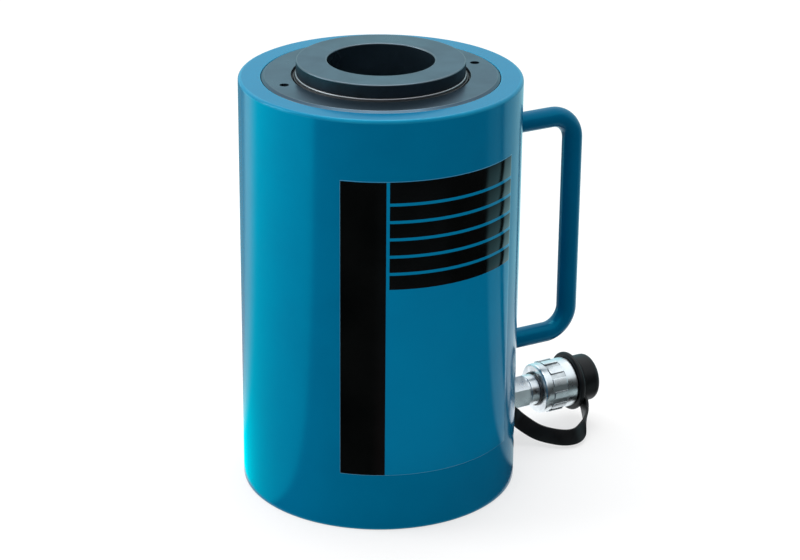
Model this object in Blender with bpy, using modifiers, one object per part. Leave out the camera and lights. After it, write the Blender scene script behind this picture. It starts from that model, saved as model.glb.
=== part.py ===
"""A hollow plunger hydraulic cylinder: single acting, spring return, with a welded carrying
handle and a quick coupler under a tethered dust cap.

The cylinder's axis is Z and the base stands on Z = 0. The oil port, the coupler and the handle
lie on +X. Sizes are in metres.
"""

import math

import bmesh
import bpy
from mathutils import Matrix, Vector

MM = 0.001

# Fits: the gap at faces that touch, and the gap round pieces that slide
SEAT = 0.3 * MM
SLIDE = 0.6 * MM

# Cylinder body
BODY_WALL = 23.5 * MM
BODY_HEIGHT = 324 * MM
BODY_TOP_ROUND = 2.4 * MM
BODY_RIM_CHAMFER = 1.2 * MM
BODY_FOOT_CHAMFER = 1.5 * MM
FLOOR_THICKNESS = 30 * MM
MOUNT_HOLE_COUNT = 4
MOUNT_HOLE_INSET = 17 * MM
MOUNT_HOLE_RADIUS = 7 * MM
MOUNT_HOLE_DEPTH = 19 * MM

# Travel
STROKE = 100 * MM

# Stop ring, which closes the body and stops the piston with its skirt
STOP_RING_THREAD_DEPTH = 6.2 * MM
STOP_RING_HEAD = 45 * MM
STOP_RING_PROUD = 1 * MM
STOP_RING_CHAMFER = 1.2 * MM
SKIRT_WALL = 6 * MM
SPANNER_HOLE_RADIUS = 3.5 * MM
SPANNER_HOLE_DEPTH = 12 * MM
SPANNER_ANGLE = math.radians(-7)
WIPER_DEPTH = 5.4 * MM
WIPER_HEIGHT = 8 * MM
WIPER_BELOW_TOP = 11 * MM
WIPER_LIP = 2.5 * MM
WIPER_LIP_WALL = 1.2 * MM
BEARING_WALL = 2.5 * MM
BEARING_HEIGHT = 13 * MM
BEARING_ABOVE_SEAT = 6 * MM

# Plunger, whose foot is the piston
PLUNGER_WALL = 11.9 * MM
PLUNGER_SHOW = 1 * MM
PLUNGER_CHAMFER = 1.2 * MM
PISTON_FOOT_CLEARANCE = 4.5 * MM
PISTON_FOOT_HEIGHT = 19 * MM
PISTON_FOOT_RELIEF_WIDTH = 9.4 * MM
PISTON_FOOT_RELIEF = 5 * MM
PISTON_LAND = 6 * MM
CUP_HEIGHT = 9.4 * MM
CUP_WALL = 7 * MM
CUP_NOTCH = 4.5 * MM
CUP_LIP_SHARE = 0.22
BACKUP_HEIGHT = 3.3 * MM
GUIDE_HEIGHT = 11.4 * MM
GUIDE_WALL = 2.5 * MM

# Centre tube, which lines the hole through the cylinder
TUBE_BORE_RADIUS = 39.6 * MM
TUBE_WALL = 11.2 * MM
TUBE_CLEARANCE = 0.8 * MM
TUBE_FLANGE_STEP = 5.2 * MM
TUBE_FLANGE_HEIGHT = 9 * MM
TUBE_BELOW_SADDLE = 2.3 * MM
TUBE_FOOT_RECESS = 0.5 * MM
TUBE_CHAMFER = 1 * MM
TUBE_HEAD_LAND = 6 * MM
TUBE_RING_HEIGHT = 7.4 * MM
TUBE_RING_WALL = 3.2 * MM
CIRCLIP_THICKNESS = 2.5 * MM
CIRCLIP_WIDTH = 5 * MM
CIRCLIP_GROOVE = 1.5 * MM
CIRCLIP_GAP_ANGLE = math.radians(16)
CIRCLIP_LUG_WIDTH = 7.5 * MM
CIRCLIP_LUG_ANGLE = math.radians(8)
CIRCLIP_STEPS = 32

# Saddle, which screws into the head of the plunger
SADDLE_STEP = 0.5 * MM
SADDLE_FLANGE = 10 * MM
SADDLE_BORE_CLEARANCE = 0.4 * MM
SADDLE_STEM_STEP = 2.4 * MM
SADDLE_STEM_LENGTH = 27 * MM
SADDLE_CHAMFER = 1.2 * MM
O_RING_SECTION = 2.4 * MM
O_RING_FACETS = 6
SADDLE_O_RING_BELOW_FLANGE = 9 * MM
TUBE_O_RING_BELOW_FLOOR = 9 * MM

# Return spring, round the plunger inside the skirt
SPRING_WIRE_RADIUS = 4.5 * MM
SPRING_CLEARANCE = 1.85 * MM
SPRING_TURNS = 7
SPRING_POINTS_PER_TURN = 16
CLOSED_TURN_SHARE = 1.05
WIRE_RESOLUTION = 1

# Set screw that locks the stop ring
SET_SCREW_RADIUS = 4 * MM
SET_SCREW_BELOW_FACE = 2.4 * MM
SET_SCREW_SOCKET = 2.3 * MM
SET_SCREW_SOCKET_DEPTH = 5 * MM
SET_SCREW_BELOW_TOP = 23 * MM
SET_SCREW_ANGLE = math.radians(150)

# Handle, a bent round bar welded to the body
HANDLE_BAR_RADIUS = 8 * MM
HANDLE_STAND_OFF = 66 * MM
HANDLE_LOW = 85 * MM
HANDLE_BELOW_TOP = 57 * MM
HANDLE_BEND_RADIUS = 20 * MM
HANDLE_BEND_STEPS = 6
HANDLE_RESOLUTION = 4
WELD_LENGTH = 3.5 * MM
WELD_SPREAD = 1.6 * MM

# Oil port and pipe nipple
PORT_ABOVE_FLOOR = 6.5 * MM
PORT_OIL_RADIUS = 4.5 * MM
PORT_SHOULDER = 8.5 * MM
NIPPLE_RADIUS = 8.4 * MM
NIPPLE_OIL_RADIUS = 4.5 * MM
NIPPLE_TAPER = 0.5 * MM
NIPPLE_SHOW = 9.8 * MM
NIPPLE_IN_COUPLER = 14 * MM

# Quick coupler, whose sizes run outwards along +X
COUPLER_HEX_RADIUS = 14.2 * MM
COUPLER_HEX_LENGTH = 17 * MM
COUPLER_HEX_CHAMFER = 1.6 * MM
COUPLER_NECK_RADIUS = 12.7 * MM
COUPLER_NECK_LENGTH = 20.5 * MM
COUPLER_SHOULDER = 1.9 * MM
COUPLER_HEAD_LENGTH = 15 * MM
COUPLER_SOCKET_RADIUS = 10.4 * MM
COUPLER_SOCKET_DEPTH = 9 * MM
COUPLER_CHAMFER = 0.8 * MM
NOSE_SEAL_HEIGHT = 3 * MM
NOSE_SEAL_WALL = 2.2 * MM
BALL_RADIUS = 5.5 * MM
BALL_SHOW = 2.6 * MM
BALL_CHAMBER_LENGTH = 14 * MM
BALL_CHAMBER_CLEARANCE = 0.7 * MM
BALL_SPRING_WIRE_RADIUS = 0.6 * MM
BALL_SPRING_TURNS = 4
BALL_SPRING_POINTS_PER_TURN = 10
SNAP_RING_WIRE_RADIUS = 0.9 * MM
SNAP_RING_GAP_ANGLE = math.radians(24)
SNAP_RING_STEPS = 20

# Coupler sleeve, which turns on the coupler's neck
SLEEVE_WALL = 3.1 * MM
SLEEVE_LENGTH = 30 * MM
SLEEVE_LIP = 9 * MM
SLEEVE_ROOM = 2.6 * MM
SLEEVE_CHAMFER = 1.2 * MM
SLEEVE_PAD_COUNT = 12
SLEEVE_PAD_HEIGHT = 1 * MM
SLEEVE_PAD_START = 7 * MM
SLEEVE_PAD_LENGTH = 13 * MM
SLEEVE_PAD_CHAMFER = 0.5 * MM
SLEEVE_SLOT_WIDTH = 4.6 * MM
SLEEVE_SLOT_DEPTH = 1.4 * MM

# Dust cap
CAP_FLANGE_RADIUS = 24 * MM
CAP_FLANGE_THICKNESS = 4.4 * MM
CAP_FLANGE_ROUND = 2 * MM
CAP_PLUG_LENGTH = 11 * MM
CAP_PLUG_CHAMFER = 0.5 * MM
CAP_GROOVE_RADIUS = 14 * MM
CAP_KNOB_RADIUS = 19.2 * MM
CAP_KNOB_LENGTH = 14.5 * MM
CAP_KNOB_ROUND = 4 * MM

# Strap, which tethers the cap to the nipple
STRAP_THICKNESS = 2.6 * MM
STRAP_WIDTH = 13 * MM
STRAP_RING_WALL = 5.5 * MM
STRAP_BODY_CLEARANCE = 1.5 * MM
STRAP_LOW_POINT = 8.5 * MM
STRAP_BULGE = 42 * MM
STRAP_SAMPLES = 27
STRAP_BAND_SHARE = 0.9
STRAP_TONGUE = 7 * MM
STRAP_TONGUE_STEP = 0.3 * MM
STRAP_TONGUE_DIRECTION = (0, -0.8, -0.6)
STRAP_UPRIGHT = (0, 0.3, 0.95)
# The band's way between its tongues: shares of the span along X, of STRAP_BULGE towards the
# front and of STRAP_LOW_POINT above the ground
STRAP_COURSE = (
    (0.18, 0.42, 2.5),
    (0.33, 0.64, 1.47),
    (0.51, 0.92, 1.06),
    (0.67, 1.0, 1.0),
    (0.81, 0.9, 1.15),
    (0.93, 0.7, 1.7),
)

# Facets round a full turn
LARGE_FACETS = 32
SMALL_FACETS = 24
HOLE_FACETS = 12
HEXAGON = 6
SHARP_ANGLE = math.radians(28)

# Places that follow from the sizes above, from the centre hole outwards
TUBE_RADIUS = TUBE_BORE_RADIUS + TUBE_WALL
PLUNGER_BORE_RADIUS = TUBE_RADIUS + TUBE_CLEARANCE
PLUNGER_RADIUS = PLUNGER_BORE_RADIUS + PLUNGER_WALL
SKIRT_BORE_RADIUS = PLUNGER_RADIUS + 2 * (SPRING_CLEARANCE + SPRING_WIRE_RADIUS)
SKIRT_RADIUS = SKIRT_BORE_RADIUS + SKIRT_WALL
BORE_RADIUS = SKIRT_RADIUS + SEAT
BODY_RADIUS = BORE_RADIUS + BODY_WALL
STOP_RING_RADIUS = BORE_RADIUS + STOP_RING_THREAD_DEPTH
STOP_RING_TOP = BODY_HEIGHT + STOP_RING_PROUD
STOP_RING_SEAT = STOP_RING_TOP - STOP_RING_HEAD
SPANNER_CIRCLE_RADIUS = (PLUNGER_RADIUS + STOP_RING_RADIUS) / 2
PISTON_BOTTOM = FLOOR_THICKNESS + SEAT
CUP_BOTTOM = PISTON_BOTTOM + PISTON_FOOT_HEIGHT + PISTON_LAND
BACKUP_BOTTOM = CUP_BOTTOM + CUP_HEIGHT + SEAT
BACKUP_TOP = BACKUP_BOTTOM + BACKUP_HEIGHT
GUIDE_BOTTOM = BACKUP_TOP + PISTON_LAND
GUIDE_TOP = GUIDE_BOTTOM + GUIDE_HEIGHT
PISTON_TOP = GUIDE_TOP + PISTON_LAND
SKIRT_BOTTOM = PISTON_TOP + STROKE + SEAT
PISTON_RADIUS = BORE_RADIUS - SLIDE
PLUNGER_TOP = STOP_RING_TOP + PLUNGER_SHOW
SADDLE_RADIUS = PLUNGER_RADIUS - SADDLE_STEP
SADDLE_STEM_RADIUS = PLUNGER_BORE_RADIUS + SADDLE_STEM_STEP
SADDLE_BORE_RADIUS = TUBE_BORE_RADIUS + SADDLE_BORE_CLEARANCE
SADDLE_SEAT = PLUNGER_TOP + SEAT
SADDLE_TOP = SADDLE_SEAT + SADDLE_FLANGE
SADDLE_BOTTOM = SADDLE_SEAT - SADDLE_STEM_LENGTH
TUBE_FLANGE_RADIUS = TUBE_RADIUS + TUBE_FLANGE_STEP
TUBE_TOP = SADDLE_BOTTOM - TUBE_BELOW_SADDLE
TUBE_RING_TOP = TUBE_TOP - TUBE_HEAD_LAND
HANDLE_REACH = BODY_RADIUS + HANDLE_STAND_OFF
HANDLE_HIGH = BODY_HEIGHT - HANDLE_BELOW_TOP
PORT_HEIGHT = FLOOR_THICKNESS + PORT_ABOVE_FLOOR
NIPPLE_START = BORE_RADIUS + PORT_SHOULDER
HEX_START = BODY_RADIUS + NIPPLE_SHOW
NECK_START = HEX_START + COUPLER_HEX_LENGTH
HEAD_START = NECK_START + COUPLER_NECK_LENGTH
HEAD_END = HEAD_START + COUPLER_HEAD_LENGTH
COUPLER_HEAD_RADIUS = COUPLER_NECK_RADIUS + COUPLER_SHOULDER
SLEEVE_THREAD_RADIUS = COUPLER_HEAD_RADIUS + SLEEVE_ROOM
SLEEVE_RADIUS = SLEEVE_THREAD_RADIUS + SLEEVE_WALL
SLEEVE_START = HEAD_START - SEAT - SLEEVE_LIP
SLEEVE_END = SLEEVE_START + SLEEVE_LENGTH
SOCKET_BOTTOM = HEAD_END - COUPLER_SOCKET_DEPTH
CHAMBER_RADIUS = BALL_RADIUS + BALL_CHAMBER_CLEARANCE
BALL_SET_BACK = BALL_RADIUS - BALL_SHOW
BALL_CENTRE = SOCKET_BOTTOM - BALL_SET_BACK
BALL_SEAT_RADIUS = math.sqrt((BALL_RADIUS + SEAT) ** 2 - BALL_SET_BACK**2)
CHAMBER_END = SOCKET_BOTTOM - (CHAMBER_RADIUS - BALL_SEAT_RADIUS) * BALL_SEAT_RADIUS / BALL_SET_BACK
CHAMBER_START = CHAMBER_END - BALL_CHAMBER_LENGTH
CAP_FLANGE_START = SLEEVE_END + SEAT
CAP_GROOVE_START = CAP_FLANGE_START + CAP_FLANGE_THICKNESS
CAP_KNOB_START = CAP_GROOVE_START + STRAP_THICKNESS + 2 * SEAT
CAP_END = CAP_KNOB_START + CAP_KNOB_LENGTH


def collection(name):
    made = bpy.data.collections.new(name)
    bpy.context.scene.collection.children.link(made)
    return made


for old in list(bpy.data.objects):
    bpy.data.objects.remove(old)
PARTS = collection("hollow_plunger_cylinder")
HELPERS = collection("cutters_and_guides")


# Finishes: colour, roughness, metallic value
BLUE_PAINT = ((0.0, 0.13, 0.25), 0.28, 0.0)
BLACK_OXIDE = ((0.03, 0.035, 0.045), 0.35, 0.8)
GROUND_STEEL = ((0.55, 0.56, 0.58), 0.2, 1.0)
ZINC_PLATE = ((0.7, 0.74, 0.78), 0.28, 1.0)
SPRING_STEEL = ((0.12, 0.12, 0.13), 0.42, 0.9)
BLACK_RUBBER = ((0.012, 0.012, 0.014), 0.45, 0.0)
SEAL_POLYURETHANE = ((0.25, 0.06, 0.03), 0.5, 0.0)
BEARING_BRONZE = ((0.45, 0.27, 0.1), 0.5, 0.0)
BACKUP_NYLON = ((0.7, 0.68, 0.62), 0.6, 0.0)


def material(name, finish):
    """A Principled material with that finish."""
    colour, roughness, metallic = finish
    made = bpy.data.materials.new(name)
    made.use_nodes = True
    shader = made.node_tree.nodes["Principled BSDF"]
    shader.inputs["Base Color"].default_value = (*colour, 1)
    shader.inputs["Roughness"].default_value = roughness
    shader.inputs["Metallic"].default_value = metallic
    made.diffuse_color = (*colour, 1)
    return made


def placed(obj, finish, parent=None):
    """Puts a finished sub-part in the parts collection, with its own material."""
    for holder in list(obj.users_collection):
        holder.objects.unlink(obj)
    PARTS.objects.link(obj)
    obj.parent = parent
    obj.data.materials.clear()
    obj.data.materials.append(material(obj.name + "_finish", finish))
    return obj


def helper(obj, parent=None):
    """Puts a cutter or a guide in the helpers collection, out of the render."""
    for holder in list(obj.users_collection):
        holder.objects.unlink(obj)
    HELPERS.objects.link(obj)
    obj.parent = parent
    obj.hide_render = True
    obj.display_type = "WIRE"
    return obj


def softened(corners):
    """The points of an outline given as (radius, height[, size[, steps]]) corners. A corner with a
    size is cut off straight at that distance, or rounded by an arc of that radius in its steps."""
    points = []
    for index, corner in enumerate(corners):
        here = Vector(corner[:2])
        if len(corner) < 3:
            points.append(here)
            continue
        to_last = (Vector(corners[index - 1][:2]) - here).normalized()
        to_next = (Vector(corners[(index + 1) % len(corners)][:2]) - here).normalized()
        size = corner[2]
        steps = corner[3] if len(corner) > 3 else 1
        if steps == 1:
            points += [here + to_last * size, here + to_next * size]
            continue
        half = to_last.angle(to_next) / 2
        centre = here + (to_last + to_next).normalized() * size / math.sin(half)
        first = here + to_last * size / math.tan(half) - centre
        last = here + to_next * size / math.tan(half) - centre
        turn = math.copysign(math.pi - 2 * half, first.cross(last))
        for step in range(steps + 1):
            angle = turn * step / steps
            cos, sin = math.cos(angle), math.sin(angle)
            points.append(centre + Vector((first.x * cos - first.y * sin, first.x * sin + first.y * cos)))
    return points


def real_mesh(obj):
    """Replaces the object's data with its evaluated mesh, shaded smooth between sharp edges."""
    bpy.context.view_layer.update()
    graph = bpy.context.evaluated_depsgraph_get()
    mesh = bpy.data.meshes.new_from_object(obj.evaluated_get(graph))
    mesh.name = obj.name
    obj.modifiers.clear()
    obj.data = mesh
    mesh.shade_smooth()
    mesh.set_sharp_from_angle(angle=SHARP_ANGLE)
    return obj


def turned(name, corners, facets=LARGE_FACETS, closed=True):
    """A body turned round Z from its outline, which runs down the outer side and up the inner."""
    points = softened(corners)
    edges = [(i, i + 1) for i in range(len(points) - 1)]
    if closed:
        edges.append((len(points) - 1, 0))
    mesh = bpy.data.meshes.new(name)
    mesh.from_pydata([(p.x, 0, p.y) for p in points], edges, [])
    obj = bpy.data.objects.new(name, mesh)
    bpy.context.scene.collection.objects.link(obj)
    screw = obj.modifiers.new("turn", "SCREW")
    screw.steps = screw.render_steps = facets
    screw.use_merge_vertices = True
    screw.merge_threshold = 0.00001
    return real_mesh(obj)


def rectangle(inner, outer, low, high):
    """The corners of a plain ring's section."""
    return [(outer, high), (outer, low), (inner, low), (inner, high)]


def cylinder(name, radius, low, high, facets=HOLE_FACETS):
    """An upright solid cylinder between two heights."""
    mesh = bpy.data.meshes.new(name)
    shape = bmesh.new()
    bmesh.ops.create_cone(
        shape,
        cap_ends=True,
        segments=facets,
        radius1=radius,
        radius2=radius,
        depth=high - low,
        matrix=Matrix.Translation((0, 0, (low + high) / 2)),
    )
    shape.to_mesh(mesh)
    shape.free()
    obj = bpy.data.objects.new(name, mesh)
    bpy.context.scene.collection.objects.link(obj)
    return obj


def combined(obj, other, operation):
    """Joins, cuts or intersects the object with a helper, and keeps the helper out of the render."""
    if other.name not in HELPERS.objects:
        helper(other, other.parent)
    boolean = obj.modifiers.new(other.name, "BOOLEAN")
    boolean.operation = operation
    boolean.object = other
    return obj


def tube_along(name, points, radius, resolution, radii=None):
    """A round bar along the points, with filled ends."""
    curve = bpy.data.curves.new(name, "CURVE")
    curve.dimensions = "3D"
    curve.bevel_depth = radius
    curve.bevel_resolution = resolution
    curve.use_fill_caps = True
    spline = curve.splines.new("POLY")
    spline.points.add(len(points) - 1)
    for index, (target, point) in enumerate(zip(spline.points, points)):
        target.co = (*point, 1)
        target.radius = radii[index] if radii else 1
    spline.use_smooth = True
    obj = bpy.data.objects.new(name, curve)
    bpy.context.scene.collection.objects.link(obj)
    return obj


def coil(mean_radius, wire_radius, low, high, turns, points_per_turn):
    """The centre line of a compression spring between two seats, with a closed turn at each end."""
    length = high - low - 2 * wire_radius
    closed_rise = 2 * wire_radius * CLOSED_TURN_SHARE
    total = turns * points_per_turn
    points = []
    for index in range(total + 1):
        turn = index / points_per_turn
        if turn < 1:
            rise = closed_rise * turn**2
        elif turn > turns - 1:
            rise = length - closed_rise * (turns - turn) ** 2
        else:
            share = (turn - 1) / (turns - 2)
            rise = closed_rise + (length - 2 * closed_rise) * share
        angle = 2 * math.pi * turn
        points.append(
            Vector((mean_radius * math.cos(angle), mean_radius * math.sin(angle), low + wire_radius + rise))
        )
    return points


def torus(name, radius, section_radius, height):
    """An O-ring that lies level."""
    bpy.ops.mesh.primitive_torus_add(
        major_radius=radius,
        minor_radius=section_radius,
        major_segments=LARGE_FACETS,
        minor_segments=O_RING_FACETS,
        location=(0, 0, height),
    )
    obj = bpy.context.object
    obj.name = obj.data.name = name
    obj.data.shade_smooth()
    return obj


# The cylinder


def cylinder_body():
    """The barrel with its floor, the thread seat for the stop ring, the port and the base holes."""
    thread_radius = STOP_RING_RADIUS + SEAT
    tube_hole = TUBE_RADIUS + SEAT
    flange_hole = TUBE_FLANGE_RADIUS + SEAT
    flange_seat = TUBE_FOOT_RECESS + TUBE_FLANGE_HEIGHT + SEAT
    body = turned(
        "cylinder_body",
        [
            (BODY_RADIUS, BODY_HEIGHT, BODY_TOP_ROUND, 4),
            (BODY_RADIUS, 0, BODY_FOOT_CHAMFER),
            (flange_hole, 0),
            (flange_hole, flange_seat),
            (tube_hole, flange_seat),
            (tube_hole, FLOOR_THICKNESS),
            (BORE_RADIUS, FLOOR_THICKNESS),
            (BORE_RADIUS, STOP_RING_SEAT),
            (thread_radius, STOP_RING_SEAT),
            (thread_radius, BODY_HEIGHT, BODY_RIM_CHAMFER),
        ],
    )
    port = turned(
        "port_cutter",
        [
            (0, HEX_START),
            (NIPPLE_RADIUS + SEAT, HEX_START),
            (NIPPLE_RADIUS + SEAT, NIPPLE_START - SEAT),
            (PORT_OIL_RADIUS, NIPPLE_START - SEAT),
            (PORT_OIL_RADIUS, BORE_RADIUS - PISTON_FOOT_CLEARANCE),
            (0, BORE_RADIUS - PISTON_FOOT_CLEARANCE),
        ],
        SMALL_FACETS,
        closed=False,
    )
    helper(port, COUPLER_AXIS)
    combined(body, port, "DIFFERENCE")
    for index in range(MOUNT_HOLE_COUNT):
        angle = 2 * math.pi * (index + 0.5) / MOUNT_HOLE_COUNT
        hole = cylinder(f"mount_hole_{index + 1}", MOUNT_HOLE_RADIUS, -MOUNT_HOLE_DEPTH, MOUNT_HOLE_DEPTH)
        hole.location = Matrix.Rotation(angle, 3, "Z") @ Vector((BODY_RADIUS - MOUNT_HOLE_INSET, 0, 0))
        combined(body, hole, "DIFFERENCE")
    screw_hole = cylinder("set_screw_hole", SET_SCREW_RADIUS + SEAT, BORE_RADIUS, HEX_START)
    helper(screw_hole, SET_SCREW_AXIS)
    combined(body, screw_hole, "DIFFERENCE")
    return placed(body, BLUE_PAINT)


def stop_ring():
    """The ring that screws into the top of the body, with its long stop skirt and two spanner holes."""
    hole = PLUNGER_RADIUS + SLIDE
    wiper_low = STOP_RING_TOP - WIPER_BELOW_TOP
    wiper_high = wiper_low + WIPER_HEIGHT
    wiper_groove = hole + WIPER_DEPTH
    bearing_low = STOP_RING_SEAT + BEARING_ABOVE_SEAT
    bearing_groove = hole + BEARING_WALL
    ring = turned(
        "stop_ring",
        [
            (STOP_RING_RADIUS, STOP_RING_TOP, STOP_RING_CHAMFER),
            (STOP_RING_RADIUS, STOP_RING_SEAT + SEAT),
            (SKIRT_RADIUS, STOP_RING_SEAT + SEAT),
            (SKIRT_RADIUS, SKIRT_BOTTOM),
            (SKIRT_BORE_RADIUS, SKIRT_BOTTOM),
            (SKIRT_BORE_RADIUS, STOP_RING_SEAT),
            (hole, STOP_RING_SEAT),
            (hole, bearing_low),
            (bearing_groove, bearing_low),
            (bearing_groove, bearing_low + BEARING_HEIGHT + 2 * SEAT),
            (hole, bearing_low + BEARING_HEIGHT + 2 * SEAT),
            (hole, wiper_low),
            (wiper_groove, wiper_low),
            (wiper_groove, wiper_high),
            (hole + 2 * STOP_RING_CHAMFER, wiper_high),
            (hole + 2 * STOP_RING_CHAMFER, STOP_RING_TOP, STOP_RING_CHAMFER / 2),
        ],
    )
    for index in range(2):
        angle = SPANNER_ANGLE + math.pi * index
        low = STOP_RING_TOP - SPANNER_HOLE_DEPTH
        hole_cutter = cylinder(f"spanner_hole_{index + 1}", SPANNER_HOLE_RADIUS, low, SADDLE_TOP)
        hole_cutter.location = Matrix.Rotation(angle, 3, "Z") @ Vector((SPANNER_CIRCLE_RADIUS, 0, 0))
        combined(ring, hole_cutter, "DIFFERENCE")
    return placed(ring, BLACK_OXIDE)


def set_screw():
    """The socket set screw through the wall that locks the stop ring's thread."""
    tip = STOP_RING_RADIUS + 2 * SEAT
    head = BODY_RADIUS - SET_SCREW_BELOW_FACE
    screw = cylinder("stop_ring_set_screw", SET_SCREW_RADIUS, tip, head)
    socket_low = head - SET_SCREW_SOCKET_DEPTH
    socket = cylinder("set_screw_socket", SET_SCREW_SOCKET, socket_low, BODY_RADIUS, HEXAGON)
    helper(socket, SET_SCREW_AXIS)
    combined(screw, socket, "DIFFERENCE")
    return placed(screw, BLACK_OXIDE, SET_SCREW_AXIS)


def plunger():
    """The hollow plunger and its piston, grooved outside and inside for seals and guide rings."""
    cup_groove = BORE_RADIUS - SEAT - CUP_WALL - SEAT
    guide_groove = BORE_RADIUS - SEAT - GUIDE_WALL - SEAT
    inner_cup_groove = TUBE_RADIUS + SEAT + CUP_WALL + SEAT
    inner_guide_groove = TUBE_RADIUS + SEAT + GUIDE_WALL + SEAT
    foot_radius = BORE_RADIUS - PISTON_FOOT_CLEARANCE
    relief_radius = PLUNGER_BORE_RADIUS + PISTON_FOOT_RELIEF_WIDTH
    cup_low = CUP_BOTTOM - SEAT
    cup_high = BACKUP_TOP + SEAT
    guide_low = GUIDE_BOTTOM - SEAT
    guide_high = GUIDE_TOP + SEAT
    stem_hole = SADDLE_STEM_RADIUS + SEAT
    stem_seat = SADDLE_BOTTOM - SEAT
    body = turned(
        "plunger",
        [
            (PLUNGER_RADIUS, PLUNGER_TOP, PLUNGER_CHAMFER),
            (PLUNGER_RADIUS, PISTON_TOP),
            (PISTON_RADIUS, PISTON_TOP),
            (PISTON_RADIUS, guide_high),
            (guide_groove, guide_high),
            (guide_groove, guide_low),
            (PISTON_RADIUS, guide_low),
            (PISTON_RADIUS, cup_high),
            (cup_groove, cup_high),
            (cup_groove, cup_low),
            (PISTON_RADIUS, cup_low),
            (PISTON_RADIUS, PISTON_BOTTOM + PISTON_FOOT_HEIGHT),
            (foot_radius, PISTON_BOTTOM + PISTON_FOOT_HEIGHT),
            (foot_radius, PISTON_BOTTOM),
            (relief_radius, PISTON_BOTTOM),
            (relief_radius, PISTON_BOTTOM + PISTON_FOOT_RELIEF),
            (PLUNGER_BORE_RADIUS, PISTON_BOTTOM + PISTON_FOOT_RELIEF),
            (PLUNGER_BORE_RADIUS, cup_low),
            (inner_cup_groove, cup_low),
            (inner_cup_groove, cup_high),
            (PLUNGER_BORE_RADIUS, cup_high),
            (PLUNGER_BORE_RADIUS, guide_low),
            (inner_guide_groove, guide_low),
            (inner_guide_groove, guide_high),
            (PLUNGER_BORE_RADIUS, guide_high),
            (PLUNGER_BORE_RADIUS, stem_seat),
            (stem_hole, stem_seat),
            (stem_hole, PLUNGER_TOP),
        ],
    )
    return placed(body, GROUND_STEEL)


def cup_section(inner, outer, low, high):
    """A cup seal's section: two lips that open downwards, towards the oil, from one heel."""
    middle = (inner + outer) / 2
    lip = (outer - inner) * CUP_LIP_SHARE
    return [
        (outer, high),
        (outer, low),
        (outer - lip, low),
        (middle, low + CUP_NOTCH),
        (inner + lip, low),
        (inner, low),
        (inner, high),
    ]


def plunger_rings():
    """The seals, backup rings and guide rings that travel with the piston."""
    cup_top = CUP_BOTTOM + CUP_HEIGHT
    bore_wall = BORE_RADIUS - SEAT
    tube_wall = TUBE_RADIUS + SEAT
    for side, inner, outer in (
        ("piston", bore_wall - CUP_WALL, bore_wall),
        ("tube", tube_wall, tube_wall + CUP_WALL),
    ):
        cup = turned(f"{side}_cup_seal", cup_section(inner, outer, CUP_BOTTOM, cup_top))
        placed(cup, SEAL_POLYURETHANE)
        backup = turned(f"{side}_backup_ring", rectangle(inner, outer, BACKUP_BOTTOM, BACKUP_TOP))
        placed(backup, BACKUP_NYLON)
    piston_guide = rectangle(bore_wall - GUIDE_WALL, bore_wall, GUIDE_BOTTOM, GUIDE_TOP)
    placed(turned("piston_guide_ring", piston_guide), BEARING_BRONZE)
    tube_guide = rectangle(tube_wall, tube_wall + GUIDE_WALL, GUIDE_BOTTOM, GUIDE_TOP)
    placed(turned("plunger_bore_guide_ring", tube_guide), BEARING_BRONZE)


def stop_ring_rings():
    """The wiper and the bearing band that the stop ring holds against the plunger."""
    inner = PLUNGER_RADIUS + SEAT
    hole = PLUNGER_RADIUS + SLIDE
    low = STOP_RING_TOP - WIPER_BELOW_TOP + SEAT
    heel = hole + WIPER_DEPTH - SEAT
    high = low + WIPER_HEIGHT - 2 * SEAT
    wiper = [
        (heel, high),
        (heel, low),
        (inner, low),
        (inner, high + WIPER_LIP),
        (inner + WIPER_LIP_WALL, high + WIPER_LIP),
        (inner + WIPER_LIP_WALL, high),
    ]
    placed(turned("plunger_wiper", wiper), BLACK_RUBBER)
    band_low = STOP_RING_SEAT + BEARING_ABOVE_SEAT + SEAT
    band = rectangle(inner, hole + BEARING_WALL - SEAT, band_low, band_low + BEARING_HEIGHT)
    placed(turned("stop_ring_bearing", band), BEARING_BRONZE)


def centre_tube():
    """The tube that lines the centre hole, with its foot flange and its grooves."""
    foot = TUBE_FOOT_RECESS
    flange_top = foot + TUBE_FLANGE_HEIGHT
    ring_groove = TUBE_RADIUS - O_RING_SECTION - SEAT / 2
    ring_middle = FLOOR_THICKNESS - TUBE_O_RING_BELOW_FLOOR
    ring_half = O_RING_SECTION / 2 + 2 * SEAT
    clip_groove = TUBE_RADIUS - CIRCLIP_GROOVE
    clip_low = FLOOR_THICKNESS
    clip_high = FLOOR_THICKNESS + CIRCLIP_THICKNESS + 2 * SEAT
    guide_groove = PLUNGER_BORE_RADIUS - SEAT - TUBE_RING_WALL - SEAT
    guide_low = TUBE_RING_TOP - TUBE_RING_HEIGHT - SEAT
    guide_high = TUBE_RING_TOP + SEAT
    tube = turned(
        "centre_tube",
        [
            (TUBE_RADIUS, TUBE_TOP),
            (TUBE_RADIUS, guide_high),
            (guide_groove, guide_high),
            (guide_groove, guide_low),
            (TUBE_RADIUS, guide_low),
            (TUBE_RADIUS, clip_high),
            (clip_groove, clip_high),
            (clip_groove, clip_low),
            (TUBE_RADIUS, clip_low),
            (TUBE_RADIUS, ring_middle + ring_half),
            (ring_groove, ring_middle + ring_half),
            (ring_groove, ring_middle - ring_half),
            (TUBE_RADIUS, ring_middle - ring_half),
            (TUBE_RADIUS, flange_top),
            (TUBE_FLANGE_RADIUS, flange_top),
            (TUBE_FLANGE_RADIUS, foot, TUBE_CHAMFER),
            (TUBE_BORE_RADIUS, foot, TUBE_CHAMFER),
            (TUBE_BORE_RADIUS, TUBE_TOP, TUBE_CHAMFER),
        ],
    )
    return placed(tube, GROUND_STEEL)


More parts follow.
